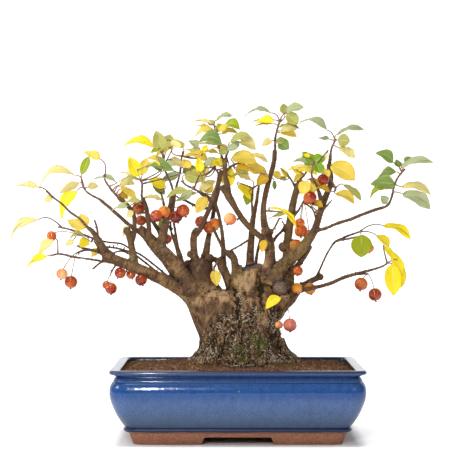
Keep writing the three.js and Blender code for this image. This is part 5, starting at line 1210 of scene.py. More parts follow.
# Spots on the trunk's front: column, row and reach in squares.
MOSS_ON_BARK = (
    (256, 339, 7), (263, 343, 6), (235, 350, 5), (243, 349, 4), (201, 350, 4), (241, 358, 4),
    (258, 352, 4),
)
# Pale bark, and painted highlights where light falls on the forms.
PALE_BARK_AND_HIGHLIGHTS = (
    (212, 292, 8), (203, 287, 5), (222, 297, 6), (246, 282, 10), (256, 277, 6), (239, 292, 5),
    (211, 319, 4), (264, 264, 4), (246, 308, 6), (198, 302, 5), (262, 319, 6), (223, 333, 5),
    (286, 296, 5),
)
# Dark bark, and painted shadows between the forms.
DARK_BARK_AND_SHADOWS = (
    (197, 276, 10), (190, 267, 8), (203, 262, 8), (208, 309, 8), (193, 295, 5), (272, 298, 7),
    (274, 310, 8), (259, 292, 7), (232, 289, 4), (284, 276, 9), (247, 318, 6), (268, 345, 7),
    (160, 256, 7), (184, 284, 8), (172, 278, 7), (213, 303, 5), (228, 308, 6), (236, 313, 7),
    (256, 309, 5), (152, 248, 6), (199, 287, 6), (215, 317, 8), (271, 280, 9), (278, 263, 9),
    (289, 262, 8), (293, 271, 7), (212, 349, 8), (262, 273, 6),
)
STOOL = (242, 262.5, 267)  # its left and right columns and the row of the middle of its sawn top
STOOL_SLANT = (0.3, 0.2)  # rise of the cut to the right and to the back
STOOL_REACH = 26  # mm up and down from the cut that belong to the stool
# Columns, rows, depths and widths of the stool's stump and of the splinter that stands on it.
STOOL_TOP = ((248.5, 280, -14, 26), (251.5, 271, -16, 21), (253, 262, -16, 19))
SPLINTER = ((263, 285, -26, 6), (263.5, 273, -25, 5), (265, 259, -22, 1.2))


def trunk_section(row):
    """The trunk's left and right columns and half its thickness at a row."""
    rows = TRUNK[::-1]
    return [float(np.interp(row, [r[0] for r in rows], [r[i] for r in rows])) for i in (1, 2, 3)]


def trunk_mesh():
    """The trunk from its roots up: an oval section with flutes, row by row."""
    path = Path(TRUNK)
    steps = (len(TRUNK) - 1) * 6
    points = []
    for i in range(steps + 1):
        row, left, right, thick = path.point(i / steps)
        middle = at((left + right) / 2, row, MIDDLE[1])
        for j in range(TRUNK_SIDES):
            turn = 2 * math.pi * j / TRUNK_SIDES
            x, y = math.cos(turn), math.sin(turn)
            flute = 1 + FLUTE_DEPTH * (math.cos(FLUTES * turn + row / 30) - abs(x))
            wide = (right - left) / 2 * MM_PER_SQUARE * flute
            points.append(middle + (x * wide, y * thick * flute, 0))
    return mesh_of("trunk", points, strips(steps + 1, TRUNK_SIDES))


def on_trunk(column, row, sink):
    """A place under the front of the trunk's bark."""
    left, right, thick = trunk_section(row)
    off = min(abs(column - (left + right) / 2) / ((right - left) / 2), 1)
    return at(column, row, MIDDLE[1] - thick * math.sqrt(1 - off * off) + sink)


class Limb:
    """One limb, with its centre line, its girth and how it looks."""

    def __init__(self, name, stations):
        self.name = name
        self.path = Path([at(*station[:3]) for station in stations])
        self.widths = [station[3] for station in stations]
        self.stout = self.widths[0] > STOUT

    def radius(self, share):
        return along(self.widths, share) * MM_PER_SQUARE / 2


def tree_limbs():
    return {name: Limb(name, stations) for name, stations in LIMBS.items()}


def spur_of(limbs, limb, stem):
    """Where a spray or bunch starts on the tree, its heading, and the spur it has, if any."""
    path = limbs[limb].path
    if stem is None or isinstance(stem[0], tuple):
        return path.point(1), path.heading(1), None
    column, row, beyond = stem
    point = nearest(path.point, column, row, 0, 0.8)
    end = at(column, row, point[1] + beyond)
    return end, unit(end - point), point


def limb_growth():
    """Tubes along limbs, with round knots."""
    growth = Growth("limbs and knots", {"Sides": 14})
    paths = growth["Geometry"]
    tubes = growth.tube(paths, growth["Sides"])
    lump = growth.node("GeometryNodeMeshIcoSphere", None, {"Radius": 1.0, "Subdivisions": 3})
    size = growth.vector(*[growth.named("knot")] * 3)
    knots = growth.at_points(growth.seats(paths, "knot"), lump, scale=size)
    growth.finish(growth.joined(tubes, knots))
    return growth


def bark_relief():
    """Ridges, rings, cracks and crumbly plates that stand out of the bark."""
    growth = Growth("bark relief", {
        "Ridge height": 0.0022, "Ring height": 0.0005, "Groove depth": 0.004,
    })
    place = growth.place()
    marks = "rugged", "ring", "gnarl", "groove"
    rugged, ring, gnarl, groove = (growth.named(name) for name in marks)
    x, y, z = growth.parts(place)
    upright = growth.vector(x, y, z * 0.35)
    ridges = growth.noise(upright, 100, 5, 0.62, 0.4)
    ridge = abs(ridges - 0.5).span(0.0, 0.12, 1.0, 0.0)
    plates = growth.noise(place, 70, 3) - 0.5
    crumb = growth.cells(place + growth.vector(plates, plates, plates) * 0.006, 230)
    fine = growth.noise(place, 360, 3) - 0.5
    rings = (ring * 1.35 + growth.noise(place, 40, 2) * 4).sine() * growth.noise(place, 90, 2)
    rough = plates * 2.0 - ridge * 0.8 + fine * 0.8 + (0.35 - crumb) * 1.1
    rough = rough * growth["Ridge height"] * rugged
    streaks = growth.noise(growth.vector(x, y, z * 0.25), 130, 4, 0.6) - 0.5
    smoother = (streaks * 0.0022 + fine * 0.0007 + rings * growth["Ring height"]) * (1 - rugged)
    knobs = growth.cells(place, 190)
    knobby = (0.42 - knobs) * 0.003 * gnarl
    height = rough + smoother + knobby - groove * growth["Groove depth"]
    wood = growth.moved(growth["Geometry"], offset=growth.facing() * height)
    growth.finish(growth.smooth(wood))
    return growth


def stool_cut(points):
    """How far points stand over the slanted cut of the old stool, and which lie on the stool."""
    left, right, row = STOOL
    middle = at((left + right) / 2, row, MIDDLE[1] - 20)
    column = squares(points)[:, 0]
    over = points[:, 2] - middle[2] - (points[:, :2] - middle[:2]) @ STOOL_SLANT
    on_stool = (column > left) & (column < right) & (points[:, 1] < MIDDLE[1] - 3)
    return over, on_stool & (abs(over) < STOOL_REACH)


def sawn_off(mesh):
    """Levels the stool at its slanted cut."""
    points = points_of(mesh)
    over, on_stool = stool_cut(points)
    points[:, 2] -= np.where(on_stool, np.maximum(over, 0), 0)
    mesh.vertices.foreach_set("co", (points * MM).astype(np.float32).ravel())
    mesh.update()
    return mesh


def near_lines(front, lines):
    """How near points are to lines drawn on the front elevation: 1 on a line, 0 at its width."""
    found = np.zeros(len(front))
    front = front + 0.9 * np.sin(front[:, ::-1] * 0.9) + 0.5 * np.sin(front[:, ::-1] * 2.3)
    for width, *stops in lines:
        for a, b in zip(stops, stops[1:]):
            a, run = np.array(a), np.subtract(b, a)
            share = np.clip((front - a) @ run / (run @ run), 0, 1)
            off = np.linalg.norm(front - a - share[:, None] * run, axis=1)
            found = np.maximum(found, np.clip(1 - off / width, 0, 1))
    return found


def near_spots(front, spots, edge):
    """How near points are to spots on the front elevation: 1 well inside, 0 outside."""
    found = np.zeros(len(front))
    for column, row, reach in spots:
        off = np.hypot(front[:, 0] - column, front[:, 1] - row)
        found = np.maximum(found, np.clip(edge - off / reach, 0, 1))
    return found


def bark_values(mesh, limbs):
    """Marks the bark: how rugged, mossy, knobby, ringed and what tint it is at each point, with painted
    highlights and shadows on the trunk's front.
    """
    points = points_of(mesh)
    places, marks = [], []
    for limb in limbs.values():
        shares, line = limb.path.samples(2.5)
        length = limb.path.length()
        olive, dark = (float(limb.name in names) for names in (OLIVE_LIMBS, DARK_LIMBS))
        places += list(line)
        for share in shares:  # slim wood is darker than stout wood
            shade = max(dark * 0.75, min(2.35 - limb.radius(share) / 5, 1.5))
            marks.append((share * length, olive, shade))
    tree = KDTree(len(places))
    for number, place in enumerate(places):
        tree.insert(place, number)
    tree.balance()
    found = np.array([marks[tree.find(point)[1]] for point in points])
    front = squares(points)
    column, row = front.T
    over, on_stool = stool_cut(points)
    facing = points[:, 1] < MIDDLE[1] + 4
    wander = 4 * np.sin(points[:, 0] * 0.23) + 3 * np.sin(points[:, 0] * 0.51 + points[:, 1] * 0.2)
    rugged = np.clip((row + wander - np.interp(column, *RUGGED_EDGE)) / 14, 0, 1)
    blotch = np.hypot((column - 263) / 6, (row - 321) / 10) * facing + 9 * ~facing
    rugged *= np.clip(blotch - 0.35 + 0.1 * wander, 0.45, 1)
    return with_values(
        mesh, rugged=rugged, moss=near_spots(front, MOSS_ON_BARK, 1.3) * facing,
        gnarl=near_spots(front, KNUCKLES, 1.4), ring=found[:, 0], olive=found[:, 1], dark=found[:, 2],
        burr=near_spots(front, (BURR,), 1.5) * facing,
        sawn=on_stool * np.clip(1.5 - abs(over), 0, 1),
        # Tone: pale bark and painted highlights above 0, dark bark and painted shadows below; the
        # grooves' mark also paints shade.
        tone=(near_spots(front, PALE_BARK_AND_HIGHLIGHTS, 1.5) - near_spots(front, DARK_BARK_AND_SHADOWS, 1.5)) * facing,
        groove=near_lines(front, SHADED_GROOVES) * facing, twig=np.zeros(len(points)),
    )


def mark_hollows(mesh, turns):
    """Marks how hollow the surface is at each point: above 0 in a crevice, below on a ridge."""
    points = points_of(mesh)
    edges = np.zeros(len(mesh.edges) * 2, np.int32)
    mesh.edges.foreach_get("vertices", edges)
    a, b = edges.reshape(-1, 2).T
    ends = [np.bincount(end, minlength=len(points)) for end in (a, b)]
    count = np.maximum(ends[0] + ends[1], 1)

    def mean(values):
        columns = [
            np.bincount(a, values[b, i], len(points)) + np.bincount(b, values[a, i], len(points))
            for i in range(values.shape[1])
        ]
        return np.stack(columns, axis=1) / count[:, None]

    normals = np.zeros(len(points) * 3, np.float32)
    mesh.vertices.foreach_get("normal", normals)
    blurred = points
    for _ in range(turns):
        blurred = mean(blurred)
    hollow = ((blurred - points) * normals.reshape(-1, 3)).sum(axis=1)
    return with_values(mesh, hollow=np.clip(hollow, -2, 2))


def stout_wood(limbs, settings):
    """The trunk with its stout limbs, knots and root ridges, fused in one skin."""
    threads = Threads()
    for limb in limbs.values():
        if limb.stout:
            shares, places = limb.path.samples(4)
            threads.add(places, thickness=[limb.radius(share) * MM for share in shares])
    for width, *stops in RIDGES:
        radius = width * MM_PER_SQUARE / 2
        places = [on_trunk(column, row, radius * 0.62) for column, row in stops]
        shares, places = Path(places).samples(4)
        swell = [0.55 + 0.45 * math.sin(math.pi * share) for share in shares]
        threads.add(places, thickness=[radius * girth * MM for girth in swell])
    for stump in (STOOL_TOP, SPLINTER):
        threads.add([at(*place[:3]) for place in stump],
                    thickness=[place[3] * MM_PER_SQUARE / 2 * MM for place in stump])
    for column, row, depth, width in KNOTS:
        if not STOOL[0] < column < STOOL[1]:
            threads.add([at(column, row, depth)], knot=width * MM_PER_SQUARE / 2 * MM)
    tubes = grown("stout limbs", threads.mesh("stout limbs"), limb_growth(), {"Sides": 18})
    source = new_object("wood", fused("wood", tubes, trunk_mesh()))
    skin = source.modifiers.new("skin", "REMESH")
    skin.mode = "VOXEL"
    skin.voxel_size = settings.grain
    skin.use_smooth_shade = True
    soften = source.modifiers.new("soften", "SMOOTH")
    soften.factor = 0.5
    soften.iterations = 3
    mesh = bark_values(sawn_off(evaluated(source, "wood")), limbs)
    return mark_hollows(grown("wood", mesh, bark_relief(), {"Ridge height": settings.ridge}), 5)


def twig_growth():
    """Round twigs with buds all along them."""
    growth = Growth("twigs and buds", {"Sides": 8, "Bud spacing": 0.011, "Seed": SEED})
    paths = growth["Geometry"]
    tubes = growth.tube(paths, growth["Sides"])
    place = growth.place()
    rough = growth.facing() * (growth.noise(place, 260, 3) - 0.5) * 0.0009
    tubes = growth.moved(tubes, offset=rough)
    curves = growth.node("GeometryNodeMeshToCurve", None, {"Mesh": paths})
    steps = growth.node("GeometryNodeCurveToPoints", {"mode": "LENGTH"}, {
        "Curve": curves, "Length": growth["Bud spacing"],
    })
    bud = growth.node("GeometryNodeMeshUVSphere", None, {"Segments": 6, "Rings": 5, "Radius": 1.0})
    bud = growth.node("GeometryNodeTransform", None, {
        "Geometry": growth.smooth(bud), "Translation": (0.0, 0.0, 1.1), "Scale": (0.55, 0.55, 1.0),
    })
    swung = growth.swung(steps, (0.9, -0.4, 0.0), (1.6, 0.4, FULL_TURN), growth["Seed"])
    size = (growth.named("thickness") + 0.0004) * growth.random(0.55, 1.25, 5)
    buds = growth.at_points(steps, bud, swung, growth.vector(size, size, size * 1.25))
    growth.finish(growth.joined(tubes, buds))
    return growth


def twig_threads(limbs, spurs):
    """Twigs too slim for the skin, and the short spurs that carry leaf and fruit."""
    threads = Threads()
    draw = np.random.default_rng(SEED)
    for limb in limbs.values():
        if not limb.stout:
            shares, places = limb.path.samples(3)
            radii = [limb.radius(share) * MM * 0.92 for share in shares]
            threads.add(places, thickness=radii, ring=[share * limb.path.length() for share in shares])
    for end, _, point in spurs:
        if point is not None:
            steps = np.array([point + (end - point) * share for share in np.linspace(0, 1, 6)])
            steps[1:-1] += draw.normal(0, 0.25, (4, 3))
            radii = np.linspace(SPUR_RADIUS * 1.15, SPUR_RADIUS * 0.9, 6) * MM
            threads.add(steps, thickness=radii, ring=0.0)
    return threads


def root_threads(count):
    """Surface roots that run from the trunk's foot over the soil and into it."""
    threads = Threads()
    draw = np.random.default_rng(SEED + 5)
    path = Path(TRUNK)
    for number in range(count):
        turn = 2 * math.pi * (number + draw.random() * 0.8) / count
        lean = abs(math.cos(turn))
        start = 0.16 + 0.32 * draw.random()
        radius = draw.uniform(0.7, 2.0)
        swing = draw.normal(0, 0.06)
        points = []
        for step in range(13):
            row, left, right, thick = path.point(max(start * (1 - step / 9), 0))
            flute = 1 + FLUTE_DEPTH * (math.cos(FLUTES * turn + row / 30) - lean)
            middle = at((left + right) / 2, row, MIDDLE[1])
            x, y = math.cos(turn + swing * step), math.sin(turn + swing * step)
            out = max(step - 6, 0) * 3.4 * (0.7 + radius * 0.35) + 0.2
            wide = (right - left) / 2 * MM_PER_SQUARE * flute
            place = middle + (x * (wide + out), y * (thick * flute + out), 0)
            ground = soil_height(place[0], place[1]) + radius * 0.25
            if place[2] < ground:
                place[2] = ground - 0.5 * max(step - 8, 0)
            points.append(place + draw.normal(0, 0.35, 3))
            lean = abs(x)
        threads.add(points, thickness=np.linspace(1.0, 0.35, len(points)) * radius * MM, ring=0.0)
    return threads


def root_growth():
    """Rough tubes along roots."""
    growth = Growth("surface roots", {"Sides": 7})
    tubes = growth.tube(growth["Geometry"], growth["Sides"])
    rough = growth.facing() * (growth.noise(growth.place(), 300, 3) - 0.5) * 0.0012
    growth.finish(growth.moved(tubes, offset=rough))
    return growth


def fibre_growth(material):
    """Curled pale fibres that cling to the rugged bark, and moss where the bark is marked mossy."""
    growth = Growth("fibres and moss on bark", {
        "Fibres per m2": 60000.0, "Fibre length": 0.0034, "Moss per m2": 900000.0, "Seed": SEED,
        "Moss": None,
    })
    wood = growth["Geometry"]
    place = growth.place()
    patches = growth.noise(place, 42, 3).span(0.45, 0.57)
    many = growth["Fibres per m2"] * (patches * 0.85 + 0.15)
    seats = growth.scattered(wood, growth.named("rugged").above(0.5), many, growth["Seed"])
    arc = growth.node("GeometryNodeCurveQuadraticBezier", None, {
        "Resolution": 4, "Start": (-1.0, 0.0, -0.1), "Middle": (0.1, 0.9, 0.5), "End": (1.0, 0.0, 0.0),
    })
    ring = growth.node("GeometryNodeCurvePrimitiveCircle", None, {"Resolution": 3, "Radius": 0.17})
    fibre = growth.node("GeometryNodeCurveToMesh", None, {
        "Curve": arc, "Profile Curve": ring, "Fill Caps": True,
    })
    swung = growth.swung(seats, (-0.3, -0.3, 0.0), (0.3, 0.3, FULL_TURN), 9)
    long = growth.random(0.4, 1.3, 3) * growth["Fibre length"]
    size = growth.vector(long, long * growth.random(0.4, 1.2, 4), long)
    fibres = growth.coated(growth.smooth(growth.at_points(seats, fibre, swung, size)), material)
    mossy = growth.named("moss").above(0.35)
    moss = tufts_on(growth, wood, mossy, growth["Moss per m2"], 0.6, growth["Moss"])
    growth.finish(growth.joined(fibres, moss))
    return growth


def bark_finish(settings):
    bark = Finish("crabapple bark", Specular_IOR_Level=0.1)
    place = bark.place()
    marks = "rugged moss ring olive dark burr sawn tone twig hollow groove".split()
    rugged, moss, ring, olive, dark, burr, sawn, tone, twig, hollow, groove = (
        bark.attribute(name)["Fac"] for name in marks
    )
    x, y, z = bark.parts(place)
    grain = bark.noise(bark.vector(x, y, z * 0.3), 170, 5, 0.65)
    patch = bark.noise(place, 45, 4, 0.6)
    fine = bark.noise(place, 560, 3, 0.6)
    # The branches' bark: brown, mottled and banded, paler and darker at random, and by spots of pale
    # bark and painted highlight and of dark bark and painted shadow.
    deep, middle, pale = map(tuple, (settings.dark_bark, settings.bark, settings.pale_bark))
    base = patch * 0.3 + grain * 0.4 + fine * 0.3
    skin = bark.ramp(base, (0.41, deep), (0.48, middle), (0.545, pale))
    warm = bark.noise(place + (0.4, 0.1, 0.6), 34, 3).span(0.47, 0.6)
    plum = bark.noise(place + (0.7, 0.6, 0.2), 38, 3).span(0.5, 0.62)
    mottle = bark.noise(place + (0.3, 0.3, 0.9), 105, 4, 0.65)
    bands = (ring * 1.35 + patch * 4).sine().span(0.5, 1.0) * fine.span(0.4, 0.6)
    mixed = (patch - 0.5) * 2 + (grain - 0.5) * 3 + (fine - 0.5) * 2
    grey = bark.noise(place + (0.2, 0.4, 0.1), 70, 4, 0.6).span(0.58, 0.68) * fine.span(0.35, 0.55)
    skin = bark.layered(
        skin,
        (warm * 0.5, (0.42, 0.235, 0.1)),
        (plum * 0.5, (0.1, 0.05, 0.035)),
        (mottle.span(0.5, 0.57) * 0.62, deep),
        (mottle.span(0.37, 0.44, 0.4, 0.0), (0.36, 0.215, 0.095)),
        (bands * 0.65, deep),
        (olive * patch.span(0.38, 0.56) * 0.75, (0.19, 0.13, 0.03)),
        (dark * 0.55, (0.08, 0.042, 0.024)),
        # Pale bark and painted highlights, then dark bark and painted shadows, by the spots and at
        # random.
        ((tone + mixed).span(0.1, 1.3) * 0.7, (0.5, 0.33, 0.18)),
        ((tone * -1 + mixed).span(0.1, 1.0) * 0.75, (0.055, 0.03, 0.02)),
        (grey * 0.3, (0.42, 0.36, 0.29)),
    )
    # The trunk's rugged bark, crumbly and in patches of shade.
    crumbly = bark.ramp(
        grain * 0.45 + fine * 0.55, (0.38, (0.022, 0.012, 0.007)), (0.5, (0.085, 0.048, 0.026)),
        (0.6, (0.22, 0.135, 0.072)), (0.72, (0.46, 0.37, 0.25)),
    )
    shade = (bark.noise(place + (0.1, 0.8, 0.3), 42, 3) - tone * 0.25).span(0.48, 0.6)
    crumbly = bark.blend(shade * 0.6, crumbly, (0.025, 0.014, 0.009))
    # The burr's scales, the old cut, the slim twigs, painted shade in hollows and grooves, worn ridges
    # and moss.
    cracked = bark.cells(place, 240, "DISTANCE_TO_EDGE").span(0.02, 0.12)
    scale = bark.blend(cracked * fine.span(0.3, 0.6), (0.045, 0.032, 0.03), (0.23, 0.17, 0.17))
    cut = bark.blend((grain + fine).span(0.8, 1.2), (0.03, 0.025, 0.025), (0.2, 0.16, 0.14))
    slim = bark.blend(patch.span(0.35, 0.65), tuple(settings.twig), (0.17, 0.09, 0.055))
    stray = (fine - 0.5) * 0.3
    # Painted shade: hollows and the sunk grooves are darkened where shade falls.
    crevice_shade = (hollow + stray).span(0.05, 0.75).most((groove + stray).span(0.3, 0.95) * 0.55)
    worn_and_shaded = (hollow * -1 + (fine - 0.5) * 0.4).span(0.15, 0.8) * (1 - twig) * (1 - dark * 0.6)
    mossy = (moss + (fine - 0.5) * 1.2 + hollow * 0.3).span(0.45, 0.9)
    bark.varies("Base Color", bark.layered(
        skin,
        (rugged, crumbly),
        (burr.span(0.3, 0.7) * 0.9, scale),
        (sawn.span(0.35, 0.7) * 0.85, cut),
        (twig * 0.75, slim),
        (crevice_shade * 0.88, (0.012, 0.007, 0.005)),
        (worn_and_shaded * 0.42, pale),
        (mossy, bark.blend(fine.span(0.3, 0.7), *MOSS_TINTS)),
    ))
    bark.varies("Roughness", fine.span(0.3, 0.7, 0.66, 0.92))
    bark.bumps(grain + fine * 0.6 + cracked * burr, 0.0013, 0.85)
    return bark.material


class BONSAI_OT_tree(bpy.types.Operator):
    """Grows the trunk, limbs, knots, twigs, spurs, buds and surface roots"""

    bl_idname = "bonsai.tree"
    bl_label = "Trunk and Branches"

    def execute(self, context):
        settings = context.scene.bonsai_wood
        limbs = tree_limbs()
        spurs = [spur_of(limbs, limb, stem) for _, limb, stem, *_ in (*BUNCHES, *SPRAYS)]
        wood = stout_wood(limbs, settings)
        material = bark_finish(settings)
        twig_paths = twig_threads(limbs, spurs).mesh("twigs")
        twigs = grown("twigs", twig_paths, twig_growth(), {"Seed": SEED})
        roots = grown("roots", root_threads(settings.roots).mesh("roots"), root_growth(), {})
        for mesh, twig, rugged in ((twigs, 1.0, 0.0), (roots, 0.0, 1.0)):
            count = len(mesh.vertices)
            with_values(mesh, twig=np.full(count, twig), rugged=np.full(count, rugged))
        tree = fused("tree", *(coated(mesh, material) for mesh in (wood, twigs, roots)))
        piece = show("trunk_and_branches", tree, "bark", "tree")
        fibre = Finish("pale bark fibre", Roughness=0.95)
        tone = fibre.noise(fibre.place(), 330, 2)
        fibre.varies("Base Color", fibre.ramp(
            tone, (0.36, (0.06, 0.036, 0.02)), (0.47, (0.28, 0.2, 0.12)), (0.58, (0.66, 0.58, 0.44))
        ))
        fibres = grown("fibres", piece.data.copy(), fibre_growth(fibre.material), {
            "Fibres per m2": settings.fibres, "Moss": moss_finish(),
        })
        show("fibres_and_moss", fibres, "bark")
        return {"FINISHED"}

# ---- leaves ---------------------------------------------------------------------------------

JOINT_GAP = 0.4  # mm, like the lengths that follow
LEAD = 3.5
STEM_RADIUS = 2.2
BUD_RADIUS = 1.4
SHORTEST_STALK = 3
ROOTED = 1.2  # how far a stem is let into the wood
LEAF_SHOULDER = 0.58  # how bluntly a blade widens from its base
VEINS = 9
VEIN_SLANT = 2.2
SHIFTS = (0, 6, -6, 12, -12, 18, -18, 26, -26, 34, -34, 44, -44)
TINTS = {  # blade, edge
    "lemon": ((0.8, 0.64, 0.007), (0.75, 0.5, 0.012)),
    "butter": ((0.67, 0.57, 0.21), (0.61, 0.44, 0.105)),
    "gold": ((0.68, 0.5, 0.06), (0.57, 0.34, 0.03)),
    "amber": ((0.5, 0.29, 0.004), (0.39, 0.16, 0.004)),
    "olive": ((0.37, 0.37, 0.09), (0.45, 0.37, 0.095)),
    "sage": ((0.325, 0.37, 0.188), (0.45, 0.42, 0.19)),
    "green": ((0.156, 0.24, 0.048), (0.31, 0.32, 0.087)),
    "grass": ((0.17, 0.31, 0.004), (0.26, 0.36, 0.008)),
    "lime": ((0.27, 0.33, 0.002), (0.38, 0.37, 0.004)),
}


def stem_line(end, heading, stem):
    """The stem's centre line, and the stretch of it from which leaves and fruit spring."""
    start = end + heading * JOINT_GAP
    lead = start + heading * LEAD
    leafy = stem is not None and isinstance(stem[0], tuple)
    if not leafy:
        return (lambda share: start + (lead - start) * share), 0.5, False, None
    path = Path([start, lead, *(at(*place) for place in stem)])
    steps = len(stem) + 1
    stations = [path.point(i / steps) for i in range(steps + 1)]

    def line(share):
        """The place between two stations of the stem."""
        i = min(int(share * steps), steps - 1)
        return stations[i] + (stations[i + 1] - stations[i]) * (share * steps - i)

    return line, 0.2, True, path


def nearest_shift(found):
    """The step in depth, of those that keep leaf and fruit apart, that a solid was moved by."""
    return min(SHIFTS, key=lambda shift: abs(shift - found))


class Leaf:
    """A leaf's place: the stalk's heart on the stem, the blade's base, and the blade's axes."""

    def __init__(self, line, start, leaf, corners, fronts):
        base_column, base_row, tip_column, tip_row, width, roll, arch, gained, tint = leaf
        heart = nearest(line, base_column, base_row, start, 0.9)
        off = np.hypot(fronts[:, 0] - tip_column, fronts[:, 1] - tip_row)
        tip_depth = corners[off < off.min() + 0.6][:, 1].mean()
        shift = nearest_shift(tip_depth - heart[1] - gained) if off.min() < 2 else 0
        base = at(base_column, base_row, heart[1] + gained * 0.5 + shift)
        self.seated = np.linalg.norm(base - heart) < SHORTEST_STALK
        self.base = heart if self.seated else base
        self.heart = heart
        run = at(tip_column, tip_row, heart[1] + gained + shift) - self.base
        self.length = np.linalg.norm(run)
        self.ahead = run / self.length
        front = unit(np.array([0.0, -1.0, 0.0]) + self.ahead * self.ahead[1])
        self.up = np.cross(self.ahead, front)
        if self.up[2] < 0:
            self.up = -self.up
        turn = math.radians(roll)
        self.face = front * math.cos(turn) + self.up * math.sin(turn)
        self.across = np.cross(self.ahead, self.face)
        self.half = width * MM_PER_SQUARE / 2
        self.arch = arch
        self.tint = tint

    def rib(self, share):
        """The middle of the blade, from its base to its tip."""
        bow = self.up * 4 * share * (1 - share) * self.arch * self.length
        return self.base + self.ahead * self.length * share + bow

    def stalk(self):
        """The stalk's path from the stem, on along the underside of the blade as its rib."""
        reach = np.linalg.norm(self.base - self.heart)
        points, radii = [], []
        if not self.seated:
            swing = self.base - self.ahead * reach / 2
            for share in np.linspace(0, 1, max(5, round(reach / 2.5)))[:-1]:
                ends = self.heart * (1 - share) ** 2, self.base * share ** 2
                points.append(ends[0] + swing * 2 * share * (1 - share) + ends[1])
                radii.append(0.85 - 0.25 * share + 0.5 * max(0, 0.14 - share) / 0.14)
        for share in np.linspace(0, 0.86, 12):
            points.append(self.rib(share) - self.face * 0.85 * min(1, share * 12))
            radii.append(0.45 * (1 - share) ** 0.8 + 0.06)
        return points, radii


def leaf_growth(blade_material, stalk_material):
    """Stems and stalks, and on each seat a blade bent to the seat's own values."""
    growth = Growth("leafy spray", {
        "Blade thickness": 0.0005, "Teeth": 15.0, "Tooth depth": 0.07, "Fold": 1.0, "Wave": 0.05,
        "Stem sides": 10,
    })
    spray = growth["Geometry"]
    stems = growth.tube(spray, growth["Stem sides"])
    stems = growth.coated(stems, stalk_material)

    sheet = growth.node("GeometryNodeMeshGrid", None, {
        "Size X": 1.0, "Size Y": 2.0, "Vertices X": 55, "Vertices Y": 9,
    })
    x, y, _ = growth.parts(growth.place())
    sheet = growth.store(sheet, "share", x + 0.5)
    sheet = growth.store(sheet, "side", y)
    blades = growth.realized(growth.at_points(growth.seats(spray, "length"), sheet))
    numbers = "share side length half seed arch curl ruffle".split()
    share, side, length, half, seed, arch, curl, ruffle = (growth.named(name) for name in numbers)
    ahead, across, face, up, base = growth.vectors("ahead", "across", "face", "up", "base")
    rest = 1 - share
    tapered = rest.most(0.0) ** growth.named("taper")
    outline = (share ** LEAF_SHOULDER) * tapered * growth.named("fullness")
    reach = abs(side)
    margin = reach ** 5
    teeth = (share * growth["Teeth"] + seed).fraction()
    finer = (share * growth["Teeth"] * 2.7 + seed).fraction()
    toothed = 1 + (teeth - 0.6 + (finer - 0.5) * 0.4) * growth["Tooth depth"] * margin
    sideways = side * outline * half * toothed
    wave = (share * 7.48 - 2.244 + 1.5708).sine() * growth["Wave"] * side * reach * length
    ripple = (share * 21 + seed * 9 + side * 1.3).sine() * ruffle * (reach ** 2) * outline
    folded = reach * outline * half * growth["Fold"] * growth.named("fold")
    lift = folded + wave * growth.named("waviness") + ripple
    between_veins = (share * VEINS - reach * VEIN_SLANT).fraction()
    quilt = (abs(between_veins - 0.5) - 0.25) * 0.0005 * outline
    bow = share * rest * 4 * arch * length
    drop = share * share * curl * length
    flat = base + ahead * (share * length) + across * sideways
    blades = growth.moved(blades, position=flat + face * (lift + quilt - drop) + up * bow)
    blades = growth.store(blades, "blade", growth.vector(share, side, seed), "FLOAT_VECTOR")
    blades = growth.welded(blades, 0.00003)
    front = growth.node("GeometryNodeExtrudeMesh", None, {
        "Mesh": blades, "Offset Scale": growth["Blade thickness"], "Individual": False,
    })
    back = growth.node("GeometryNodeFlipFaces", None, {"Mesh": blades})
    closed = growth.welded(growth.joined(front, back), 0.00001)
    closed = growth.coated(growth.smooth(closed), blade_material)
    growth.finish(growth.joined(stems, closed))
    return growth


def leaf_finish(settings):
    leaf = Finish("autumn crabapple leaf", Specular_IOR_Level=0.25, Emission_Strength=settings.glow)
    share, side, seed = leaf.parts(leaf.attribute("blade")["Vector"])
    tint, edge_tint = (leaf.attribute(name)["Color"] for name in ("tint", "edge_tint"))
    place = leaf.place()
    reach = abs(side)
    cloud = leaf.noise(place, 90, 4, 0.6)
    fine = leaf.noise(place, 700, 3)
    edge = (reach ** 3 * 0.7 + (cloud - 0.5) * 1.6).span(0.25, 0.95)
    mottle = leaf.noise(place + (0.3, 0.2, 0.7), 240, 3).span(0.55, 0.75)
    vein_line = (share * VEINS - reach * VEIN_SLANT + (cloud - 0.5) * 0.5).fraction()
    vein = abs(vein_line - 0.5).span(0.40, 0.49) * reach.span(0.95, 0.6)
    veins = reach.span(0.015, 0.06, 1, 0).most(vein * 0.35)
    spots = (leaf.cells(place, 120) + (fine - 0.5) * 0.12).span(0.07, 0.13, 1, 0)
    rust = spots * leaf.noise(place, 25, 2).span(0.56, 0.62)
    tip_rust = (share + (cloud - 0.5) * 0.4).span(0.97, 1.06) * seed.span(0.55, 0.65)
    colour = leaf.layered(
        tint,
        (edge, edge_tint),
        (mottle * 0.16, (0.26, 0.3, 0.04)),
        (veins * 0.42, (0.86, 0.78, 0.42)),
        (rust.most(tip_rust) * 0.85, (0.2, 0.075, 0.02)),
    )
    leaf.varies("Base Color", colour)
    # The blade also glows faintly in its own colour: painted light that stands in for light shining
    # through it.
    leaf.varies("Emission Color", colour)
    leaf.varies("Roughness", fine.span(0.3, 0.7, 0.4, 0.56))
    leaf.bumps(fine * 0.25 - veins + cloud, 0.0004, 0.6)
    return leaf.material


def stalk_finish():
    stalk = Finish("young stem and leaf stalk", Roughness=0.55, Specular_IOR_Level=0.35)
    tone = stalk.noise(stalk.place(), 60, 3)
    green = stalk.blend(tone.span(0.4, 0.6), (0.3, 0.11, 0.07), (0.32, 0.22, 0.1))
    grain = stalk.noise(stalk.place(), 300, 3).span(0.35, 0.65)
    wood = stalk.blend(grain, (0.055, 0.028, 0.02), (0.18, 0.095, 0.06))
    stalk.varies("Base Color", stalk.blend(stalk.attribute("woody")["Fac"], green, wood))
    return stalk.material


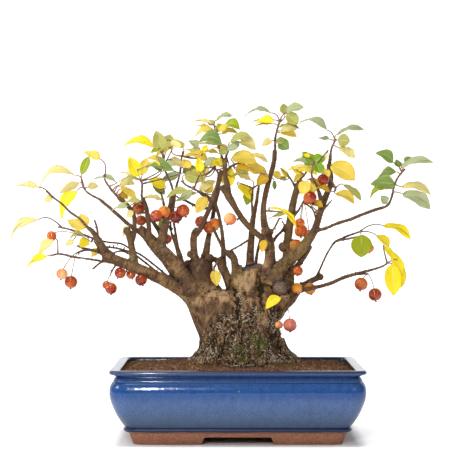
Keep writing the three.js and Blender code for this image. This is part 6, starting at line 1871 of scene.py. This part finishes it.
def leaf_spray(name, limbs, limb, stem, slot, leaves, growth, settings):
    """Makes one spray on its limb: the stem, then a stalk and a blade for each leaf."""
    end, heading, _ = spur_of(limbs, limb, stem)
    line, start, leafy, path = stem_line(end, heading, stem)
    corners = points_of(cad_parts[f"leaves_{name}"].data)
    fronts = squares(corners)
    draw = np.random.default_rng(sum(map(ord, name)))
    threads = Threads()
    shares = np.linspace(0, 1, 40 if leafy else 8)
    stations = [path.point(share) if leafy else line(share) for share in shares]
    stations = [end - heading * ROOTED, *stations]
    girth = (STEM_RADIUS, BUD_RADIUS) if leafy else (BUD_RADIUS, BUD_RADIUS * 0.8)
    radii = np.interp(shares, (0, 1), girth)
    radii *= 1 + 0.1 * np.sin(shares * 31)
    threads.add(stations, thickness=np.array([radii[0], *radii]) * MM, woody=1.0)
    for row in leaves:
        leaf = Leaf(line, start, row, corners, fronts)
        points, girth = leaf.stalk()
        reach = np.linalg.norm(leaf.base - leaf.heart)
        woody = min(max(reach / 12 - 1.3, 0), 0.9)
        threads.add(points, thickness=np.array(girth) * MM * settings.stalks, woody=woody)
        blade, edge = TINTS[leaf.tint]
        shade = draw.uniform(0.88, 1.08)
        taper = draw.uniform(0.72, 0.95)
        peak = LEAF_SHOULDER / (LEAF_SHOULDER + taper)
        full = 1 / (peak ** LEAF_SHOULDER * (1 - peak) ** taper)
        threads.add(
            [leaf.base], length=leaf.length * MM, half=leaf.half * MM, seed=draw.random(),
            arch=leaf.arch, curl=draw.uniform(-0.04, 0.1), ruffle=draw.uniform(0.1, 0.8) * MM,
            waviness=draw.uniform(0.4, 1.3), fold=draw.uniform(0.02, 0.42), taper=taper, fullness=full,
            ahead=leaf.ahead, across=leaf.across, face=leaf.face, up=leaf.up, base=leaf.base * MM,
            tint=(*(c * shade for c in blade), 1), edge_tint=(*edge, 1),
        )
    mesh = grown(name, threads.mesh(name), growth, {
        "Blade thickness": settings.thickness, "Tooth depth": settings.teeth,
        "Fold": settings.fold, "Wave": settings.wave,
    })
    show(f"leaves_on_{name}", mesh, slot, f"leaves_{name}")


class BONSAI_OT_leaves(bpy.types.Operator):
    """Hangs the autumn leaves: each blade folded, waved and toothed, on its stalk"""

    bl_idname = "bonsai.leaves"
    bl_label = "Leaves"

    def execute(self, context):
        settings = context.scene.bonsai_leaf
        limbs = tree_limbs()
        growth = leaf_growth(leaf_finish(settings), stalk_finish())
        for name, *spray in SPRAYS:
            leaf_spray(name, limbs, *spray, growth, settings)
        return {"FINISHED"}


# ---- fruit ----------------------------------------------------------------------------------

LONG_STALK = 22  # mm: longer stalks bow upwards
FRUIT_TINTS = {  # ripe side, shaded side
    "red": ((0.29, 0.018, 0.006), (0.5, 0.1, 0.016)),
    "scarlet": ((0.29, 0.018, 0.004), (0.46, 0.09, 0.012)),
    "orange": ((0.55, 0.095, 0.01), (0.76, 0.3, 0.035)),
    "peach": ((0.66, 0.18, 0.055), (0.86, 0.43, 0.17)),
    "russet": ((0.29, 0.037, 0.007), (0.48, 0.125, 0.018)),
    "wine": ((0.14, 0.009, 0.003), (0.32, 0.04, 0.006)),
    "rose": ((0.6, 0.16, 0.11), (0.75, 0.42, 0.3)),
}


def fruit_growth(skin, crown_material, stalk_material):
    """Stalks, and on each seat an apple with a dimpled top and a dried crown at its foot."""
    growth = Growth("crabapples", {"Segments": 32, "Rings": 22, "Stem sides": 8, "Crown size": 0.75})
    bunch = growth["Geometry"]
    stalks = growth.coated(growth.tube(bunch, growth["Stem sides"]), stalk_material)
    seats = growth.seats(bunch, "size")
    size, seed, dent = (growth.named(name) for name in ("size", "seed", "dent"))
    left, out, hang, centre = growth.vectors("left", "out", "hang", "centre")

    def placed(shape):
        """A copy of a shape on each seat, which keeps the shape's own places as a value."""
        shape = growth.store(shape, "local", growth.place(), "FLOAT_VECTOR")
        return growth.realized(growth.at_points(seats, shape))

    ball = growth.node("GeometryNodeMeshUVSphere", None, {
        "Segments": growth["Segments"], "Rings": growth["Rings"], "Radius": 1.0,
    })
    balls = placed(ball)
    local = growth.named("local", "FLOAT_VECTOR")
    x, y, z = growth.parts(local)
    girth = (x * x + y * y).sum("SQRT")
    dimple = girth.span(0.0, 0.42, 1.0, 0.0)
    stalk_end = z.above(0.0)
    pulled = z * (0.96 + 0.04 * stalk_end) - dimple * stalk_end * 0.3 + dimple * (1 - stalk_end) * 0.13
    turn = y.sum("ARCTAN2", x)
    ribs = 1 + (turn * 5).sum("COSINE") * 0.022 * (1 - z) * 0.5
    lumps = growth.noise(local + growth.vector(seed * 37, seed * 11, seed * 5), 1.6, 3) - 0.5
    wrinkle = growth.noise(local + growth.vector(seed * 7, 0.0, 0.0), 4.5, 4, 0.6) - 0.5
    swell = 1 + lumps * 0.12 + wrinkle * dent
    wide = swell * ribs
    level = centre + left * (x * wide * size) + out * (y * wide * size)
    balls = growth.moved(balls, position=level + hang * (pulled * swell * size * -1))
    balls = growth.smooth(balls)
    balls = growth.store(balls, "skin", local, "FLOAT_VECTOR")
    balls = growth.coated(balls, skin)

    crown = growth.node("GeometryNodeMeshCone", None, {
        "Vertices": 30, "Side Segments": 4, "Radius Top": 0.3, "Radius Bottom": 0.17, "Depth": 0.3,
    })
    crowns = placed(crown)
    petals = abs((turn * 2.5).sum("COSINE"))
    flare = 0.62 + petals * 0.55 * (z * 3.3)
    hollow = (1 - girth * 3.2).most(0.0) * z.above(0.28) * 0.1
    reach = 0.8 + z * (0.75 + petals * 0.45) - hollow
    across = flare * size * growth["Crown size"]
    deep = (0.86 + (reach - 0.8) * growth["Crown size"]) * size
    position = centre + left * (x * across) + out * (y * across) + hang * deep
    crowns = growth.coated(growth.smooth(growth.moved(crowns, position=position)), crown_material)
    growth.finish(growth.joined(stalks, balls, crowns))
    return growth


def fruit_finish(settings):
    fruit = Finish("ripe crabapple skin", Coat_Roughness=0.08, Coat_Weight=settings.gloss,
                   Specular_IOR_Level=0.0)
    ripe, pale = (fruit.attribute(name)["Color"] for name in ("ripe", "pale"))
    place = fruit.place()
    skin = fruit.attribute("skin")["Vector"]
    _, _, along_axis = fruit.parts(skin)
    toward = skin.sum("DOT_PRODUCT", fruit.attribute("cheek")["Vector"])["Value"]
    cloud = fruit.noise(place, 110, 4)
    streak = fruit.noise(place, 420, 3)
    blush = (toward * 0.5 + (cloud - 0.5) * 1.5 + (streak - 0.5) * 0.6).span(-0.25, 0.45)
    stalk_end, dots = along_axis.span(0.78, 0.98), fruit.cells(place, 430).span(0.1, 0.2, 1, 0)
    scar = fruit.noise(place + (0.7, 0.3, 0.2), 160, 4, 0.7).span(0.58, 0.68)
    fruit.varies("Base Color", fruit.layered(
        ripe, (blush, pale), (stalk_end * 0.6, (0.45, 0.25, 0.05)), (dots * 0.3, (0.75, 0.5, 0.25)),
        (scar * 0.55, (0.13, 0.04, 0.018)),
    ))
    fruit.varies("Roughness", streak.span(0.3, 0.7, 0.26, 0.42) + scar * 0.2)
    fruit.bumps(streak * 0.4 + cloud, 0.0005, 0.7)
    return fruit.material


def fruit_bunch(name, limbs, limb, stem, fruits, growth, settings):
    """Makes one bunch on its limb: the bud, then a stalk and an apple for each fruit."""
    end, heading, _ = spur_of(limbs, limb, stem)
    line, start, _, _ = stem_line(end, heading, stem)
    corners = points_of(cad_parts[f"fruit_{name}"].data)
    fronts = squares(corners)
    draw = np.random.default_rng(sum(map(ord, name)) + 3)
    threads = Threads()
    bud = [end - heading * ROOTED, *(line(share) for share in np.linspace(0, 1, 5))]
    threads.add(bud, thickness=np.array([1.5, 1.5, 1.45, 1.5, 1.4, 1.1]) * MM, woody=1.0)
    for column, row, width, gained, tint in fruits:
        heart = nearest(line, column, row, start, 0.9)
        size = width * MM_PER_SQUARE / 2
        off = np.hypot(fronts[:, 0] - column, fronts[:, 1] - row)
        body = corners[off < width * 0.62][:, 1]
        shift = nearest_shift((body.min() + body.max()) / 2 - heart[1] - gained)
        middle = at(column, row, heart[1] + gained + shift)
        hang = unit(unit(middle - heart) - np.array([0, 0, 2.0]))
        top = middle - hang * size * 0.7
        reach = np.linalg.norm(top - heart)
        shares = np.linspace(0, 1, 12)
        points = [
            heart + (top - heart) * share
            + np.array([0, 0, reach * 0.12 * 4 * share * (1 - share) * (reach > LONG_STALK)])
            for share in shares
        ]
        girth = 0.62 + 0.35 * (shares - 0.5) ** 2 * 4 * 0.6
        threads.add(points, thickness=girth * MM, woody=0.5)
        left = unit(np.cross(hang, (0.3, 1.0, 0.1)))
        out = np.cross(hang, left)
        ripe, pale = FRUIT_TINTS[tint]
        cheek = unit(draw.normal(0, 1, 3))
        threads.add(
            [middle], size=size * MM * 0.985, seed=draw.random(), dent=0.5 if tint == "rose" else 0.09,
            left=left, out=out, hang=hang, centre=middle * MM, ripe=(*ripe, 1), pale=(*pale, 1),
            cheek=cheek,
        )
    mesh = grown(name, threads.mesh(name), growth, {"Crown size": settings.crown})
    show(f"crabapples_{name}", mesh, "fruit", f"fruit_{name}")


class BONSAI_OT_fruit(bpy.types.Operator):
    """Hangs the crabapples with their stalks and dried crowns"""

    bl_idname = "bonsai.fruit"
    bl_label = "Crabapples"

    def execute(self, context):
        settings = context.scene.bonsai_fruit
        limbs = tree_limbs()
        crown = Finish("dried calyx", Roughness=0.8, Base_Color=(0.04, 0.022, 0.014, 1))
        growth = fruit_growth(fruit_finish(settings), crown.material, stalk_finish())
        for name, *bunch in BUNCHES:
            fruit_bunch(name, limbs, *bunch, growth, settings)
        return {"FINISHED"}


# ---- stage ----------------------------------------------------------------------------------

SENSOR = 36  # mm across the camera's picture
LIGHTS = (  # name, the setting with its power, place and size in m
    ("window left", "key", (-0.27, -2.4, 1.05), (0.1, 0.6)),
    ("overhead", "top", (-0.5, -0.5, 1.9), (1.2, 0.9)),
    ("fill right", "fill", (1.5, -1.6, 0.8), (0.5, 0.8)),
    ("side left", "side", (-2.2, -0.6, 1.2), (0.8, 0.8)),
)


def placed_object(name, data, place):
    holder = new_object(name, data)
    holder.location = place
    return holder


def soft_light(name, place, target, size, power):
    """A rectangular lamp turned to a target."""
    lamp = bpy.data.lights.new(name, "AREA")
    lamp.shape = "RECTANGLE"
    lamp.size, lamp.size_y = size
    lamp.energy = power
    holder = placed_object(name, lamp, place)
    holder.rotation_euler = (Vector(target) - Vector(place)).to_track_quat("-Z", "Y").to_euler()


def sweep_mesh():
    """White paper that lies flat under the pot and curves up far behind it."""
    bend = np.linspace(0, math.pi / 2, 24)
    curve = [(2 + 1.5 * math.sin(turn), 1.5 - 1.5 * math.cos(turn)) for turn in bend]
    profile = [(-4.0, 0.0), *curve, (3.5, 5.0)]
    points = [(x, y * 1000, z * 1000) for x in (-6000, 6000) for y, z in profile]
    count = len(profile)
    mesh = mesh_of("sweep", points, [(count + i, count + i + 1, i + 1, i) for i in range(count - 1)])
    for face in mesh.polygons:
        face.use_smooth = True
    return mesh


class BONSAI_OT_stage(bpy.types.Operator):
    """Sets the white sweep, the soft lights and the camera"""

    bl_idname = "bonsai.stage"
    bl_label = "Stage"

    def execute(self, context):
        settings = context.scene.bonsai_stage
        mesh = sweep_mesh()
        paper = Finish("white paper", Roughness=0.9, Specular_IOR_Level=0.1,
                       Base_Color=(*settings.paper, 1), Emission_Strength=settings.glow)
        x, y, _ = paper.parts(paper.place())
        glow = paper.blend(y.span(-0.4, 1.2), (0.7,) * 3, (1.0,) * 3)
        # The paper gives off no light under the pot, so that the pot has a shadow to stand in.
        beside = (abs(x - MIDDLE[0] * MM) - (POT_LENGTH / 2 - 19) * MM).most(0.0)
        before = (abs(y - MIDDLE[1] * MM) - (POT_WIDTH / 2 - 19) * MM).most(0.0)
        off = paper.vector(beside, before, 0.0).sum("LENGTH")["Value"]
        paper.varies("Emission Color", paper.blend(off.span(0.0, 0.03), (0.0,) * 3, glow))
        mesh.materials.append(paper.material)
        new_object("sweep", mesh)

        world = bpy.data.worlds.new("white room")
        world.use_nodes = True
        background = world.node_tree.nodes["Background"]
        background.inputs[0].default_value = (1, 1, 1, 1)
        in_sight = Maker(world.node_tree).node("ShaderNodeLightPath")["Is Camera Ray"]
        strength = in_sight * (1 - settings.sky) + settings.sky
        world.node_tree.links.new(strength.socket, background.inputs[1])
        context.scene.world = world
        for name, power, place, size in LIGHTS:
            soft_light(name, place, (MIDDLE[0] * MM, 0, 0.25), size, getattr(settings, power))

        camera = bpy.data.cameras.new("camera")
        camera.lens = SENSOR * GRID_FOCUS / GRID_SIZE
        camera.sensor_width = SENSOR
        camera.clip_end = 50
        holder = placed_object("camera", camera, tuple(EYE * MM))
        holder.rotation_euler = (math.radians(90), 0, 0)
        context.scene.camera = holder
        context.scene.view_settings.view_transform = "Standard"
        return {"FINISHED"}

# ---- settings and panel ---------------------------------------------------------------------


def colour(name, description, value):
    return FloatVectorProperty(
        name=name, description=description, default=value, subtype="COLOR", size=3, min=0, max=1
    )


def number(name, description, default, **kind):
    return FloatProperty(name=name, description=description, default=default, **kind)


LENGTH = {"subtype": "DISTANCE", "unit": "LENGTH"}
LAMP = {"min": 0, "unit": "POWER"}


class PotSettings(bpy.types.PropertyGroup):
    glaze: colour("Glaze", "Colour of the thick glaze on the pot's shoulder", (0.008, 0.056, 0.21))
    dull_glaze: colour("Thin glaze", "Colour of the thin glaze low on the wall", (0.038, 0.066, 0.12))
    broken_glaze: colour("Broken glaze", "Colour of its pale, thin band", (0.048, 0.095, 0.225))
    # This colour also paints the shade under and along the rim and below the shoulder step.
    pooled_glaze_and_shade: colour("Pooled glaze", "Colour where the glaze pools", (0.006, 0.014, 0.055))
    clay: colour("Clay", "Colour of the bare clay of the feet", (0.31, 0.134, 0.074))


class SoilSettings(bpy.types.PropertyGroup):
    soil: colour("Soil", "Colour of the damp soil", (0.15, 0.066, 0.028))
    crumbs: number("Crumbs", "Loose crumbs on each square metre of soil", 60000, min=0)
    crumb_size: number("Crumb size", "Radius of the largest crumbs", 0.0016, min=0.0005, **LENGTH)


class WoodSettings(bpy.types.PropertyGroup):
    grain: number("Grain", "Width of the bark's facets", 0.0019, min=0.001, **LENGTH)
    ridge: number("Ridges", "Height of the ridges on the old bark", 0.0026, min=0, **LENGTH)
    roots: IntProperty(name="Roots", description="Number of surface roots", default=70, min=0)
    fibres: number("Fibres", "Fibres on each square metre of rugged bark", 60000, min=0)
    bark: colour("Bark", "Colour of the branches' bark", (0.13, 0.066, 0.028))
    dark_bark: colour("Dark bark", "Colour in its hollows and rings", (0.045, 0.024, 0.014))
    pale_bark: colour("Pale bark", "Colour where it is worn pale", (0.4, 0.237, 0.105))
    twig: colour("Twigs", "Colour of the slim twigs", (0.05, 0.028, 0.02))


class LeafSettings(bpy.types.PropertyGroup):
    thickness: number("Thickness", "Thickness of a blade", 0.0005, min=0.0002, **LENGTH)
    stalks: number("Stalks", "Girth of the leaf stalks, as a share", 1.35, min=0.2)
    teeth: number("Teeth", "Depth of the teeth, as a share of the width", 0.045, min=0)
    fold: number("Fold", "How far blades fold up along the rib, as a share", 1.0)
    wave: number("Wave", "How far margins wave, as a share of the length", 0.055)
    glow: number("Glow", "Light that shows through a blade", 0.14, min=0, max=1)


class FruitSettings(bpy.types.PropertyGroup):
    gloss: number("Gloss", "Shine of the skin", 1.0, min=0, max=1)
    crown: number("Calyx", "Size of the dried calyx, as a share", 0.75, min=0.2)


class StageSettings(bpy.types.PropertyGroup):
    paper: colour("Paper", "Colour of the sweep", (0.9, 0.9, 0.9))
    glow: number("Paper glow", "Light given off by the sweep", 0.8, min=0)
    sky: number("Room", "Brightness of the white room", 0.17, min=0)
    key: number("Window", "Power of the light at the left", 24, **LAMP)
    top: number("Overhead", "Power of the light above", 19, **LAMP)
    side: number("Side", "Power of the low light at the left", 22, **LAMP)
    fill: number("Fill", "Power of the light at the right", 3, **LAMP)


GROUPS = {
    "bonsai_pot": PotSettings, "bonsai_soil": SoilSettings, "bonsai_wood": WoodSettings,
    "bonsai_leaf": LeafSettings, "bonsai_fruit": FruitSettings, "bonsai_stage": StageSettings,
}
OPERATORS = (
    BONSAI_OT_pot, BONSAI_OT_soil, BONSAI_OT_drains, BONSAI_OT_tree, BONSAI_OT_leaves,
    BONSAI_OT_fruit, BONSAI_OT_stage,
)


class BONSAI_PT_parts(bpy.types.Panel):
    """Lists the bonsai's pieces and their settings"""

    bl_label = "Crabapple Bonsai"
    bl_idname = "BONSAI_PT_parts"
    bl_space_type = "VIEW_3D"
    bl_region_type = "UI"
    bl_category = "Bonsai"

    def draw(self, context):
        for operator in OPERATORS:
            self.layout.operator(operator.bl_idname)
        for name, group in GROUPS.items():
            box = self.layout.box()
            for key in group.__annotations__:
                box.prop(getattr(context.scene, name), key)


def register():
    for group in GROUPS.values():
        bpy.utils.register_class(group)
    for name, group in GROUPS.items():
        setattr(bpy.types.Scene, name, PointerProperty(type=group))
    for operator in OPERATORS:
        bpy.utils.register_class(operator)
    bpy.utils.register_class(BONSAI_PT_parts)


def unregister():
    bpy.utils.unregister_class(BONSAI_PT_parts)
    for operator in reversed(OPERATORS):
        bpy.utils.unregister_class(operator)
    for name in GROUPS:
        delattr(bpy.types.Scene, name)
    for group in reversed(GROUPS.values()):
        bpy.utils.unregister_class(group)


def main():
    register()
    for operator in OPERATORS:
        family, name = operator.bl_idname.split(".")
        getattr(getattr(bpy.ops, family), name)()


if __name__ == "__main__":
    main()
